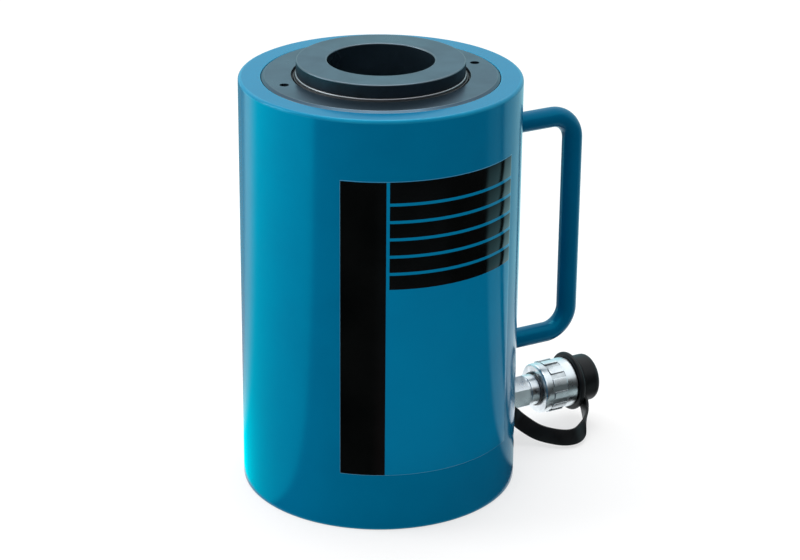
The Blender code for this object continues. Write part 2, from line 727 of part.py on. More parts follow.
def tube_rings():
    """The centre tube's O-ring, and the guide ring at its head that runs in the plunger."""
    section = O_RING_SECTION / 2 - SEAT / 2
    ring_radius = TUBE_RADIUS + SEAT / 2 - section
    o_ring = torus("tube_o_ring", ring_radius, section, FLOOR_THICKNESS - TUBE_O_RING_BELOW_FLOOR)
    placed(o_ring, BLACK_RUBBER)
    outer = PLUNGER_BORE_RADIUS - SEAT
    guide = rectangle(outer - TUBE_RING_WALL, outer, TUBE_RING_TOP - TUBE_RING_HEIGHT, TUBE_RING_TOP)
    placed(turned("tube_head_guide_ring", guide), BEARING_BRONZE)


def circlip():
    """The retaining ring that locks the centre tube to the floor: a flat C with two lugs."""
    inner = TUBE_RADIUS - CIRCLIP_GROOVE + SEAT
    outer = inner + CIRCLIP_WIDTH
    lug = inner + CIRCLIP_LUG_WIDTH
    half_gap = CIRCLIP_GAP_ANGLE / 2
    lug_end = half_gap + CIRCLIP_LUG_ANGLE
    ring_start = lug_end + CIRCLIP_LUG_ANGLE / 4
    full = 2 * math.pi

    def arc(radius, start, end, steps):
        angles = [start + (end - start) * step / steps for step in range(steps + 1)]
        return [(radius * math.cos(angle), radius * math.sin(angle)) for angle in angles]

    outline = arc(lug, half_gap, lug_end, 2)
    outline += arc(outer, ring_start, full - ring_start, CIRCLIP_STEPS)
    outline += arc(lug, full - lug_end, full - half_gap, 2)
    outline += arc(inner, full - half_gap, half_gap, CIRCLIP_STEPS)
    curve = bpy.data.curves.new("tube_circlip", "CURVE")
    curve.dimensions = "2D"
    curve.fill_mode = "BOTH"
    curve.extrude = CIRCLIP_THICKNESS / 2
    spline = curve.splines.new("POLY")
    spline.use_cyclic_u = True
    spline.points.add(len(outline) - 1)
    for target, point in zip(spline.points, outline):
        target.co = (*point, 0, 1)
    clip = bpy.data.objects.new("tube_circlip", curve)
    clip.location = (0, 0, FLOOR_THICKNESS + SEAT + CIRCLIP_THICKNESS / 2)
    bpy.context.scene.collection.objects.link(clip)
    return placed(clip, SPRING_STEEL)


def saddle():
    """The hollow saddle that takes the load, screwed into the plunger."""
    groove = SADDLE_STEM_RADIUS - O_RING_SECTION - SEAT / 2
    ring_middle = SADDLE_SEAT - SADDLE_O_RING_BELOW_FLANGE
    ring_half = O_RING_SECTION / 2 + 2 * SEAT
    body = turned(
        "saddle",
        [
            (SADDLE_RADIUS, SADDLE_TOP, SADDLE_CHAMFER, 3),
            (SADDLE_RADIUS, SADDLE_SEAT, SADDLE_CHAMFER / 2),
            (SADDLE_STEM_RADIUS, SADDLE_SEAT),
            (SADDLE_STEM_RADIUS, ring_middle + ring_half),
            (groove, ring_middle + ring_half),
            (groove, ring_middle - ring_half),
            (SADDLE_STEM_RADIUS, ring_middle - ring_half),
            (SADDLE_STEM_RADIUS, SADDLE_BOTTOM, SADDLE_CHAMFER),
            (SADDLE_BORE_RADIUS, SADDLE_BOTTOM),
            (SADDLE_BORE_RADIUS, SADDLE_TOP, SADDLE_CHAMFER),
        ],
    )
    placed(body, BLACK_OXIDE)
    section = O_RING_SECTION / 2 - SEAT / 2
    ring = torus("saddle_o_ring", SADDLE_STEM_RADIUS + SEAT / 2 - section, section, ring_middle)
    return placed(ring, BLACK_RUBBER)


def return_spring():
    """The spring between the piston and the stop ring that brings the plunger back."""
    points = coil(
        (PLUNGER_RADIUS + SKIRT_BORE_RADIUS) / 2,
        SPRING_WIRE_RADIUS,
        PISTON_TOP + SEAT,
        STOP_RING_SEAT - SEAT,
        SPRING_TURNS,
        SPRING_POINTS_PER_TURN,
    )
    spring = tube_along("return_spring", points, SPRING_WIRE_RADIUS, WIRE_RESOLUTION)
    return placed(spring, SPRING_STEEL)


def handle():
    """The carrying handle: a bar bent twice, whose ends flare into their welds on the body."""
    start = BODY_RADIUS + SEAT
    bend = HANDLE_BEND_RADIUS
    points = [Vector((start, 0, HANDLE_LOW)), Vector((start + WELD_LENGTH, 0, HANDLE_LOW))]
    for centre_height, first in ((HANDLE_LOW + bend, -90), (HANDLE_HIGH - bend, 0)):
        for step in range(HANDLE_BEND_STEPS + 1):
            angle = math.radians(first + 90 * step / HANDLE_BEND_STEPS)
            reach = HANDLE_REACH - bend + bend * math.cos(angle)
            points.append(Vector((reach, 0, centre_height + bend * math.sin(angle))))
    points += [Vector((start + WELD_LENGTH, 0, HANDLE_HIGH)), Vector((start, 0, HANDLE_HIGH))]
    flare = (HANDLE_BAR_RADIUS + WELD_SPREAD) / HANDLE_BAR_RADIUS
    radii = [flare] + [1] * (len(points) - 2) + [flare]
    bar = tube_along("handle", points, HANDLE_BAR_RADIUS, HANDLE_RESOLUTION, radii)
    return placed(bar, BLUE_PAINT)


# The coupler, whose parts are turned about COUPLER_AXIS, so that their heights run along +X


def port_nipple():
    """The pipe nipple, with a tapered end in the port and one in the coupler."""
    outer_end = HEX_START + NIPPLE_IN_COUPLER
    nipple = turned(
        "port_nipple",
        [
            (NIPPLE_RADIUS - NIPPLE_TAPER, outer_end),
            (NIPPLE_RADIUS, HEX_START),
            (NIPPLE_RADIUS, BODY_RADIUS),
            (NIPPLE_RADIUS - NIPPLE_TAPER, NIPPLE_START),
            (NIPPLE_OIL_RADIUS, NIPPLE_START),
            (NIPPLE_OIL_RADIUS, outer_end),
        ],
        SMALL_FACETS,
    )
    return placed(nipple, ZINC_PLATE, COUPLER_AXIS)


def coupler_body():
    """The coupler half: a hexagon, a neck for the sleeve, and a head with the ball seat and socket."""
    groove = COUPLER_NECK_RADIUS - SNAP_RING_WIRE_RADIUS
    groove_middle = SLEEVE_START - SEAT - SNAP_RING_WIRE_RADIUS
    groove_half = SNAP_RING_WIRE_RADIUS + SEAT
    body = turned(
        "coupler_body",
        [
            (0, HEAD_END),
            (COUPLER_HEAD_RADIUS, HEAD_END, COUPLER_CHAMFER),
            (COUPLER_HEAD_RADIUS, HEAD_START),
            (COUPLER_NECK_RADIUS, HEAD_START),
            (COUPLER_NECK_RADIUS, groove_middle + groove_half),
            (groove, groove_middle + groove_half),
            (groove, groove_middle - groove_half),
            (COUPLER_NECK_RADIUS, groove_middle - groove_half),
            (COUPLER_NECK_RADIUS, HEX_START + COUPLER_HEX_CHAMFER),
            (0, HEX_START + COUPLER_HEX_CHAMFER),
        ],
        SMALL_FACETS,
        closed=False,
    )
    hexagon = cylinder("coupler_hexagon", COUPLER_HEX_RADIUS, HEX_START, NECK_START, HEXAGON)
    crown = turned(
        "hexagon_crown",
        [
            (0, NECK_START + SEAT),
            (COUPLER_HEX_RADIUS - COUPLER_HEX_CHAMFER, NECK_START + SEAT),
            (COUPLER_HEX_RADIUS, NECK_START - COUPLER_HEX_CHAMFER / 2),
            (COUPLER_HEX_RADIUS, HEX_START + COUPLER_HEX_CHAMFER / 2),
            (COUPLER_HEX_RADIUS - COUPLER_HEX_CHAMFER, HEX_START - SEAT),
            (0, HEX_START - SEAT),
        ],
        SMALL_FACETS,
        closed=False,
    )
    helper(hexagon, COUPLER_AXIS)
    helper(crown, COUPLER_AXIS)
    combined(hexagon, crown, "INTERSECT")
    combined(body, hexagon, "UNION")
    thread = NIPPLE_RADIUS + SEAT
    passage = turned(
        "coupler_passage",
        [
            (0, HEAD_END + COUPLER_SOCKET_DEPTH),
            (COUPLER_SOCKET_RADIUS, HEAD_END + COUPLER_SOCKET_DEPTH),
            (COUPLER_SOCKET_RADIUS, SOCKET_BOTTOM),
            (BALL_SEAT_RADIUS, SOCKET_BOTTOM),
            (CHAMBER_RADIUS, CHAMBER_END),
            (CHAMBER_RADIUS, CHAMBER_START),
            (NIPPLE_OIL_RADIUS, CHAMBER_START),
            (NIPPLE_OIL_RADIUS, HEX_START + NIPPLE_IN_COUPLER + SEAT),
            (thread, HEX_START + NIPPLE_IN_COUPLER + SEAT),
            (thread, HEX_START - COUPLER_HEX_LENGTH),
            (0, HEX_START - COUPLER_HEX_LENGTH),
        ],
        SMALL_FACETS,
        closed=False,
    )
    helper(passage, COUPLER_AXIS)
    combined(body, passage, "DIFFERENCE")
    return placed(body, ZINC_PLATE, COUPLER_AXIS)


def nose_seal():
    """The ring in the bottom of the coupler's socket that seals on the mating half."""
    outer = COUPLER_SOCKET_RADIUS - SEAT
    low = SOCKET_BOTTOM + SEAT
    seal = turned(
        "coupler_nose_seal",
        rectangle(outer - NOSE_SEAL_WALL, outer, low, low + NOSE_SEAL_HEIGHT),
        SMALL_FACETS,
    )
    return placed(seal, SEAL_POLYURETHANE, COUPLER_AXIS)


def check_ball():
    """The ball that closes the coupler, and the spring behind it."""
    mesh = bpy.data.meshes.new("check_ball")
    shape = bmesh.new()
    bmesh.ops.create_uvsphere(
        shape,
        u_segments=HOLE_FACETS,
        v_segments=HOLE_FACETS // 2,
        radius=BALL_RADIUS,
        matrix=Matrix.Translation((0, 0, BALL_CENTRE)),
    )
    shape.to_mesh(mesh)
    shape.free()
    mesh.shade_smooth()
    ball = bpy.data.objects.new("check_ball", mesh)
    bpy.context.scene.collection.objects.link(ball)
    placed(ball, GROUND_STEEL, COUPLER_AXIS)
    mean_radius = CHAMBER_RADIUS - SEAT - BALL_SPRING_WIRE_RADIUS
    reach = BALL_RADIUS + BALL_SPRING_WIRE_RADIUS + SEAT
    spring_end = BALL_CENTRE - math.sqrt(reach**2 - mean_radius**2) + BALL_SPRING_WIRE_RADIUS
    points = coil(
        mean_radius,
        BALL_SPRING_WIRE_RADIUS,
        CHAMBER_START + SEAT,
        spring_end,
        BALL_SPRING_TURNS,
        BALL_SPRING_POINTS_PER_TURN,
    )
    spring = tube_along("check_spring", points, BALL_SPRING_WIRE_RADIUS, WIRE_RESOLUTION)
    return placed(spring, SPRING_STEEL, COUPLER_AXIS)


def coupler_sleeve():
    """The threaded sleeve that turns on the coupler's neck, with a band of raised grip pads."""
    lip_hole = COUPLER_NECK_RADIUS + SEAT
    pads_low = SLEEVE_START + SLEEVE_PAD_START
    pads_high = pads_low + SLEEVE_PAD_LENGTH
    pad_radius = SLEEVE_RADIUS + SLEEVE_PAD_HEIGHT
    slot_floor = pad_radius - SLEEVE_SLOT_DEPTH
    sleeve = turned(
        "coupler_sleeve",
        [
            (SLEEVE_RADIUS, SLEEVE_END, SLEEVE_CHAMFER),
            (SLEEVE_RADIUS, pads_high),
            (pad_radius, pads_high, SLEEVE_PAD_CHAMFER),
            (pad_radius, pads_low, SLEEVE_PAD_CHAMFER),
            (SLEEVE_RADIUS, pads_low),
            (SLEEVE_RADIUS, SLEEVE_START, SLEEVE_CHAMFER, 2),
            (lip_hole, SLEEVE_START, SLEEVE_CHAMFER),
            (lip_hole, SLEEVE_START + SLEEVE_LIP),
            (SLEEVE_THREAD_RADIUS, SLEEVE_START + SLEEVE_LIP),
            (SLEEVE_THREAD_RADIUS, SLEEVE_END, SLEEVE_CHAMFER / 2),
        ],
        SMALL_FACETS,
    )
    cutter = bpy.data.objects.new("slot_cutter", bpy.data.meshes.new("slot_cutter"))
    bpy.context.scene.collection.objects.link(cutter)
    depth = 3 * SLEEVE_SLOT_DEPTH
    size = Matrix.Diagonal((depth, SLEEVE_SLOT_WIDTH, SLEEVE_PAD_LENGTH + 2 * SEAT, 1))
    middle = Matrix.Translation((slot_floor + depth / 2, 0, (pads_low + pads_high) / 2))
    shape = bmesh.new()
    for index in range(SLEEVE_PAD_COUNT):
        turn = Matrix.Rotation(2 * math.pi * (index + 0.5) / SLEEVE_PAD_COUNT, 4, "Z")
        bmesh.ops.create_cube(shape, matrix=turn @ middle @ size)
    shape.to_mesh(cutter.data)
    shape.free()
    helper(cutter, COUPLER_AXIS)
    combined(sleeve, cutter, "DIFFERENCE")
    return placed(sleeve, ZINC_PLATE, COUPLER_AXIS)


def snap_ring():
    """The wire ring behind the sleeve that keeps it on the neck."""
    radius = COUPLER_NECK_RADIUS + SEAT
    height = SLEEVE_START - SEAT - SNAP_RING_WIRE_RADIUS
    span = 2 * math.pi - SNAP_RING_GAP_ANGLE
    points = []
    for step in range(SNAP_RING_STEPS + 1):
        angle = math.pi + SNAP_RING_GAP_ANGLE / 2 + span * step / SNAP_RING_STEPS
        points.append(Vector((radius * math.cos(angle), radius * math.sin(angle), height)))
    ring = tube_along("sleeve_snap_ring", points, SNAP_RING_WIRE_RADIUS, WIRE_RESOLUTION)
    return placed(ring, SPRING_STEEL, COUPLER_AXIS)


def dust_cap():
    """The rubber cap: a hollow plug in the sleeve, a round-edged flange, a strap groove and a knob."""
    plug_start = CAP_FLANGE_START - CAP_PLUG_LENGTH
    plug_outer = SLEEVE_THREAD_RADIUS - SLIDE
    plug_inner = COUPLER_HEAD_RADIUS + SLIDE
    cap = turned(
        "dust_cap",
        [
            (0, CAP_END),
            (CAP_KNOB_RADIUS, CAP_END, CAP_KNOB_ROUND, 3),
            (CAP_KNOB_RADIUS, CAP_KNOB_START),
            (CAP_GROOVE_RADIUS, CAP_KNOB_START),
            (CAP_GROOVE_RADIUS, CAP_GROOVE_START),
            (CAP_FLANGE_RADIUS, CAP_GROOVE_START, CAP_FLANGE_ROUND, 2),
            (CAP_FLANGE_RADIUS, CAP_FLANGE_START, CAP_FLANGE_ROUND, 2),
            (plug_outer, CAP_FLANGE_START),
            (plug_outer, plug_start, CAP_PLUG_CHAMFER),
            (plug_inner, plug_start),
            (plug_inner, CAP_FLANGE_START),
            (0, CAP_FLANGE_START),
        ],
        SMALL_FACETS,
        closed=False,
    )
    return placed(cap, BLACK_RUBBER, COUPLER_AXIS)


def strap_stations():
    """The strap's centre line and the direction of its width, sampled along a smooth curve."""
    root_x = BODY_RADIUS + STRAP_BODY_CLEARANCE + STRAP_THICKNESS / 2
    cap_x = CAP_GROOVE_START + SEAT + STRAP_THICKNESS / 2
    root_radius = NIPPLE_RADIUS + SEAT + STRAP_RING_WALL / 2
    cap_radius = CAP_GROOVE_RADIUS + SEAT + STRAP_RING_WALL / 2
    down = Vector(STRAP_TONGUE_DIRECTION).normalized()
    across = down.cross(Vector((1, 0, 0)))
    upright = Vector(STRAP_UPRIGHT).normalized()
    turning = (across + upright).normalized()
    axis_point = Vector((0, 0, PORT_HEIGHT))
    tongue = Vector((STRAP_TONGUE_STEP, 0, 0)) + down * STRAP_TONGUE
    root = Vector((root_x, 0, 0)) + axis_point + down * root_radius
    tip = Vector((cap_x, 0, 0)) + axis_point + down * cap_radius
    knots = [(root, across), (root + tongue, across)]
    for along, forward, up in STRAP_COURSE:
        place = Vector((root_x + (cap_x - root_x) * along, -STRAP_BULGE * forward, STRAP_LOW_POINT * up))
        outer = along in (STRAP_COURSE[0][0], STRAP_COURSE[-1][0])
        knots.append((place, turning if outer else upright))
    knots += [(tip + tongue, across), (tip, across)]
    stations = []
    last = len(knots) - 1
    for index in range(STRAP_SAMPLES + 1):
        place = last * index / STRAP_SAMPLES
        part = min(int(place), last - 1)
        t = place - part
        around = [knots[max(0, min(last, part + offset))] for offset in (-1, 0, 1, 2)]
        weights = (
            (-t + 2 * t * t - t**3) / 2,
            (2 - 5 * t * t + 3 * t**3) / 2,
            (t + 4 * t * t - 3 * t**3) / 2,
            (t**3 - t * t) / 2,
        )
        point = sum((knot[0] * w for knot, w in zip(around, weights)), Vector())
        width = sum((knot[1] * w for knot, w in zip(around, weights)), Vector())
        stations.append((point, width.normalized()))
    return stations


def dust_cap_strap():
    """The rubber strap: a ring round the nipple, a ring round the cap's groove, and the band between."""
    band = bpy.data.objects.new("dust_cap_strap", bpy.data.meshes.new("dust_cap_strap"))
    bpy.context.scene.collection.objects.link(band)
    shape = bmesh.new()
    last = None
    for point, width in strap_stations():
        edge = [shape.verts.new(point + width * STRAP_WIDTH / 2 * side) for side in (-1, 1)]
        if last:
            shape.faces.new((last[0], last[1], edge[1], edge[0]))
        last = edge
    shape.to_mesh(band.data)
    shape.free()
    wall = band.modifiers.new("wall", "SOLIDIFY")
    wall.thickness = STRAP_THICKNESS * STRAP_BAND_SHARE
    wall.offset = 0
    real_mesh(band)
    root_x = BODY_RADIUS + STRAP_BODY_CLEARANCE
    cap_x = CAP_GROOVE_START + SEAT
    for name, inner, low in (
        ("strap_root_ring", NIPPLE_RADIUS + SEAT, root_x),
        ("strap_cap_ring", CAP_GROOVE_RADIUS + SEAT, cap_x),
    ):
        section = rectangle(inner, inner + STRAP_RING_WALL, low, low + STRAP_THICKNESS)
        ring = turned(name, section, SMALL_FACETS)
        helper(ring, COUPLER_AXIS)
        combined(band, ring, "UNION")
    return placed(band, BLACK_RUBBER)


def axis_empty(name, location, rotation):
    """An empty whose Z is an axis that pieces are turned about."""
    empty = bpy.data.objects.new(name, None)
    empty.location = location
    empty.rotation_euler = rotation
    PARTS.objects.link(empty)
    return empty


COUPLER_AXIS = axis_empty("coupler_axis", (0, 0, PORT_HEIGHT), (0, math.pi / 2, 0))
SET_SCREW_AXIS = axis_empty(
    "set_screw_axis", (0, 0, STOP_RING_TOP - SET_SCREW_BELOW_TOP), (0, math.pi / 2, SET_SCREW_ANGLE)
)

cylinder_body()
stop_ring()
set_screw()
stop_ring_rings()
plunger()
plunger_rings()
centre_tube()
tube_rings()
circlip()
saddle()
return_spring()
handle()
port_nipple()
coupler_body()
nose_seal()
check_ball()
coupler_sleeve()
snap_ring()
dust_cap()
dust_cap_strap()
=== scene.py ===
import math

import bmesh
import bpy
from mathutils import Matrix, Vector


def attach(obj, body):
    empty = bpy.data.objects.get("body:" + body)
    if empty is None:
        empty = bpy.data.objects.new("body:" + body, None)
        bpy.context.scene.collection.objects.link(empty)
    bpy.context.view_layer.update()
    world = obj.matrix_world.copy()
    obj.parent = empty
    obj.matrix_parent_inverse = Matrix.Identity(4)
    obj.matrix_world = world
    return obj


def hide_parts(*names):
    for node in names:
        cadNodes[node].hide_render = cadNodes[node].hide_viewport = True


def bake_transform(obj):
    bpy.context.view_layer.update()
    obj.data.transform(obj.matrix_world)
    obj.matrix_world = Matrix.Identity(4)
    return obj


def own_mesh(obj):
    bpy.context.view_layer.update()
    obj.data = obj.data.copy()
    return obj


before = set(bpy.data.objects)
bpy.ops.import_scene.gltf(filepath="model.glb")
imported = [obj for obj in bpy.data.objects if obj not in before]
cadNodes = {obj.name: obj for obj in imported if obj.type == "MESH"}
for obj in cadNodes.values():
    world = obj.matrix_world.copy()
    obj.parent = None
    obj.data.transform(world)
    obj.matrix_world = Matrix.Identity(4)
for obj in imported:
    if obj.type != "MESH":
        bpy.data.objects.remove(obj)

# Hollow plunger cylinder: blue barrel, black stop ring and saddle, welded handle, plated quick
# coupler with a rubber dust cap on a strap. Profiles are in millimetres: radius, height[, round].

mm = 0.001
scene = bpy.context.scene
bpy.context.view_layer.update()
turn = 2 * math.pi

portHeight = 36.5
barrelRadius = 106.0
upright = Matrix.Identity(4)


def alongX(start=0.0):
    # turned pieces of the oil port lie along +X, portHeight above the ground
    return Matrix.Translation((start * mm, 0, portHeight * mm)) @ Matrix.Rotation(turn / 4, 4, "Y")


couplerStart = 115.8    # the hexagon's inner face; the coupler's heights are counted from it


# Small tools

def linked(obj):
    scene.collection.objects.link(obj)
    return obj


def addNode(tree, kind, links=None, **settings):
    node = tree.nodes.new(kind)
    for key, value in settings.items():
        setattr(node, key, value)
    for key, value in (links or {}).items():
        if isinstance(value, bpy.types.NodeSocket):
            tree.links.new(value, node.inputs[key])
        else:
            node.inputs[key].default_value = value
    return node


def calc(tree, operation, *values):
    return addNode(tree, "ShaderNodeMath", dict(enumerate(values)), operation=operation).outputs[0]


def remap(tree, value, low, high, toLow, toHigh):
    links = {"Value": value, "From Min": low, "From Max": high, "To Min": toLow, "To Max": toHigh}
    return addNode(tree, "ShaderNodeMapRange", links).outputs[0]


def settled(obj):
    # the evaluated shape becomes the object's own mesh, with no modifier left on it
    bpy.context.view_layer.update()
    graph = bpy.context.evaluated_depsgraph_get()
    mesh = bpy.data.meshes.new_from_object(obj.evaluated_get(graph))
    obj.modifiers.clear()
    obj.data = mesh
    return obj


def smoothed(obj, angle=30):
    obj.data.shade_smooth()
    obj.data.set_sharp_from_angle(angle=math.radians(angle))
    return obj


def carved(obj, tools, operation="DIFFERENCE"):
    for tool in tools:
        boolean = obj.modifiers.new("carve", "BOOLEAN")
        boolean.operation = operation
        boolean.solver = "EXACT"
        boolean.object = tool
        settled(obj)
        bpy.data.objects.remove(tool)
    return smoothed(obj)


holdPoint = {"least": 0.12, "perRadius": 0.15, "most": 0.49}    # how far it stands from its arc
mergeReach = 0.000002


def roundedProfile(corners, arcSteps):
    # corners with a third number get an arc of that radius, held by a point on each side of it
    points = []
    for index, corner in enumerate(corners):
        here = Vector(corner[:2])
        if len(corner) < 3:
            points.append((here, 0.0))
            continue
        last = Vector(corners[index - 1][:2]) - here
        after = Vector(corners[(index + 1) % len(corners)][:2]) - here
        toLast = last.normalized()
        toNext = after.normalized()
        half = toLast.angle(toNext) / 2
        reach = corner[2] / math.tan(half)
        centre = here + (toLast + toNext).normalized() * corner[2] / math.sin(half)
        start = here + toLast * reach - centre
        sweep = math.copysign(math.pi - 2 * half, start.cross(here + toNext * reach - centre))
        hold = reach + holdPoint["least"] + holdPoint["perRadius"] * corner[2]
        most = holdPoint["most"]
        points.append((here + toLast * max(reach, min(hold, last.length * most)), 0.0))
        for step in range(arcSteps + 1):
            spoke = Matrix.Rotation(sweep * step / arcSteps, 2) @ start
            points.append((centre + spoke, 1.0))
        points.append((here + toNext * max(reach, min(hold, after.length * most)), 0.0))
    return points


def turned(name, corners, steps=192, arcSteps=5, place=upright):
    # a body turned round its axis; the attribute "edge" is 1 on its rounded corners
    shape = bmesh.new()
    edgeLayer = shape.verts.layers.float.new("edge")
    rings = []
    for point, edge in roundedProfile(corners, arcSteps):
        count = 1 if point.x < mergeReach / mm else steps
        ring = []
        for step in range(count):
            angle = turn * step / steps
            spot = Vector((point.x * math.cos(angle), point.x * math.sin(angle), point.y)) * mm
            vert = shape.verts.new(spot)
            vert[edgeLayer] = edge
            ring.append(vert)
        rings.append(ring * (steps // count))
    for ring, other in zip(rings, rings[1:] + rings[:1]):
        for step in range(steps):
            after = (step + 1) % steps
            sides = list(dict.fromkeys((ring[step], ring[after], other[after], other[step])))
            if len(sides) > 2:
                shape.faces.new(sides)
    bmesh.ops.remove_doubles(shape, verts=shape.verts, dist=mergeReach)
    bmesh.ops.recalc_face_normals(shape, faces=shape.faces)
    shape.transform(place)
    mesh = bpy.data.meshes.new(name)
    shape.to_mesh(mesh)
    shape.free()
    return smoothed(linked(bpy.data.objects.new(name, mesh)))


def paintShade(obj, belongs, amount=1.0):
    # painted shade, a darker and rougher colour where shade falls: belongs(radius, height) says where, in
    # the piece's own frame
    paintedShade = obj.data.attributes.get("paintedShade") or obj.data.attributes.new("paintedShade", "FLOAT", "POINT")
    for vert, mark in zip(obj.data.vertices, paintedShade.data):
        if belongs(math.hypot(vert.co.x, vert.co.y) / mm, vert.co.z / mm):
            mark.value = amount
    return obj


def drill(radius, low, high, place, steps=48):
    return turned("drill", [(0, high), (radius, high), (radius, low), (0, low)], steps, place=place)


def bar(inner, outer, low, high, size=0.3):
    # a plain ring's section with broken edges
    return [(outer, high, size), (outer, low, size), (inner, low, size), (inner, high, size)]


# Geometry Nodes

def newTree(name, **sizes):
    tree = bpy.data.node_groups.new(name, "GeometryNodeTree")
    tree.interface.new_socket("Geometry", in_out="OUTPUT", socket_type="NodeSocketGeometry")
    kinds = {int: "NodeSocketInt", float: "NodeSocketFloat", bpy.types.Object: "NodeSocketObject"}
    for label, kind in sizes.items():
        tree.interface.new_socket(label, in_out="INPUT", socket_type=kinds[kind])
    tree.interface.new_socket("finish", in_out="INPUT", socket_type="NodeSocketMaterial")
    return tree, tree.nodes.new("NodeGroupInput").outputs


def endTree(tree, shape, given):
    real = addNode(tree, "GeometryNodeRealizeInstances", {"Geometry": shape})
    smooth = addNode(tree, "GeometryNodeSetShadeSmooth", {"Geometry": real.outputs[0]})
    dressed = addNode(
        tree, "GeometryNodeSetMaterial", {"Geometry": smooth.outputs[0], "Material": given["finish"]}
    )
    addNode(tree, "NodeGroupOutput", {"Geometry": dressed.outputs[0]})
    return tree


def grown(name, tree, finish, place=upright, **sizes):
    obj = linked(bpy.data.objects.new(name, bpy.data.meshes.new(name)))
    modifier = obj.modifiers.new("grow", "NODES")
    modifier.node_group = tree
    for item in tree.interface.items_tree:
        if item.in_out == "INPUT":
            modifier[item.identifier] = finish if item.name == "finish" else sizes[item.name]
    settled(obj)
    obj.data.transform(place)
    return smoothed(obj)


def springTree():
    # a wire wound from low to high, with one closed turn at each end
    tree, given = newTree(
        "woundSpring", wireRadius=float, coilRadius=float, low=float, high=float, turns=int, points=int
    )
    count = calc(tree, "ADD", calc(tree, "MULTIPLY", given["turns"], given["points"]), 1)
    line = addNode(tree, "GeometryNodeMeshLine", {"Count": count})
    along = calc(tree, "DIVIDE", addNode(tree, "GeometryNodeInputIndex").outputs[0], given["points"])
    wire = calc(tree, "MULTIPLY", given["wireRadius"], 2)
    length = calc(tree, "SUBTRACT", calc(tree, "SUBTRACT", given["high"], given["low"]), wire)
    closed = calc(tree, "MULTIPLY", wire, 1.05)
    first = calc(tree, "POWER", calc(tree, "MINIMUM", along, 1), 2)
    left = calc(tree, "SUBTRACT", given["turns"], along)
    last = calc(tree, "POWER", calc(tree, "MINIMUM", left, 1), 2)
    openLength = calc(tree, "SUBTRACT", length, calc(tree, "MULTIPLY", closed, 2))
    part = remap(tree, along, 1, calc(tree, "SUBTRACT", given["turns"], 1), 0, 1)
    rise = calc(tree, "MULTIPLY", closed, calc(tree, "SUBTRACT", calc(tree, "ADD", first, 1), last))
    rise = calc(tree, "ADD", rise, calc(tree, "MULTIPLY", openLength, part))
    height = calc(tree, "ADD", calc(tree, "ADD", given["low"], given["wireRadius"]), rise)
    angle = calc(tree, "MULTIPLY", along, turn)
    x = calc(tree, "MULTIPLY", given["coilRadius"], calc(tree, "COSINE", angle))
    y = calc(tree, "MULTIPLY", given["coilRadius"], calc(tree, "SINE", angle))
    spot = addNode(tree, "ShaderNodeCombineXYZ", {"X": x, "Y": y, "Z": height})
    moved = addNode(
        tree, "GeometryNodeSetPosition", {"Geometry": line.outputs[0], "Position": spot.outputs[0]}
    )
    curve = addNode(tree, "GeometryNodeMeshToCurve", {"Mesh": moved.outputs[0]})
    section = addNode(
        tree, "GeometryNodeCurvePrimitiveCircle", {"Resolution": 16, "Radius": given["wireRadius"]}
    )
    swept = addNode(
        tree,
        "GeometryNodeCurveToMesh",
        {"Curve": curve.outputs[0], "Profile Curve": section.outputs[0], "Fill Caps": True},
    )
    return endTree(tree, swept.outputs[0], given)


def threadTree():
    # a V ridge wound along a wall, half sunk in it, thin at both ends
    tree, given = newTree("threadRidge", wallRadius=float, pitch=float, low=float, high=float, depth=float)
    height = calc(tree, "SUBTRACT", given["high"], given["low"])
    spiral = addNode(
        tree,
        "GeometryNodeCurveSpiral",
        {
            "Resolution": 72,
            "Rotations": calc(tree, "DIVIDE", height, given["pitch"]),
            "Start Radius": given["wallRadius"],
            "End Radius": given["wallRadius"],
            "Height": height,
        },
    )
    level = addNode(
        tree, "GeometryNodeSetCurveNormal", {"Curve": spiral.outputs[0]}, mode="Z_UP"
    )
    lift = addNode(tree, "ShaderNodeCombineXYZ", {"Z": given["low"]})
    moved = addNode(
        tree, "GeometryNodeTransform", {"Geometry": level.outputs[0], "Translation": lift.outputs[0]}
    )
    share = addNode(tree, "GeometryNodeSplineParameter").outputs["Factor"]
    ends = calc(tree, "MINIMUM", share, calc(tree, "SUBTRACT", 1, share))
    thin = remap(tree, ends, 0, 0.08, 0.1, 1)
    section = addNode(
        tree, "GeometryNodeCurvePrimitiveCircle", {"Resolution": 4, "Radius": given["depth"]}
    )
    swept = addNode(
        tree,
        "GeometryNodeCurveToMesh",
        {
            "Curve": moved.outputs[0],
            "Profile Curve": section.outputs[0],
            "Scale": thin,
            "Fill Caps": True,
        },
    )
    return endTree(tree, swept.outputs[0], given)


def handleTree():
    # a round bar bent twice, both ends on the barrel
    tree, given = newTree(
        "bentBar", start=float, reach=float, low=float, high=float, bend=float, barRadius=float
    )
    ends = []
    for x, z in (("start", "low"), ("reach", "low"), ("reach", "high"), ("start", "high")):
        ends.append(addNode(tree, "ShaderNodeCombineXYZ", {"X": given[x], "Z": given[z]}).outputs[0])
    four = {f"Point {index + 1}": end for index, end in enumerate(ends)}
    loop = addNode(tree, "GeometryNodeCurvePrimitiveQuadrilateral", four, mode="POINTS")
    path = addNode(tree, "GeometryNodeSetSplineCyclic", {"Geometry": loop.outputs[0], "Cyclic": False})
    bent = addNode(
        tree,
        "GeometryNodeFilletCurve",
        {"Curve": path.outputs[0], "Count": 24, "Radius": given["bend"]},
        mode="POLY",
    )
    section = addNode(
        tree, "GeometryNodeCurvePrimitiveCircle", {"Resolution": 48, "Radius": given["barRadius"]}
    )
    swept = addNode(
        tree,
        "GeometryNodeCurveToMesh",
        {"Curve": bent.outputs[0], "Profile Curve": section.outputs[0], "Fill Caps": True},
    )
    return endTree(tree, swept.outputs[0], given)


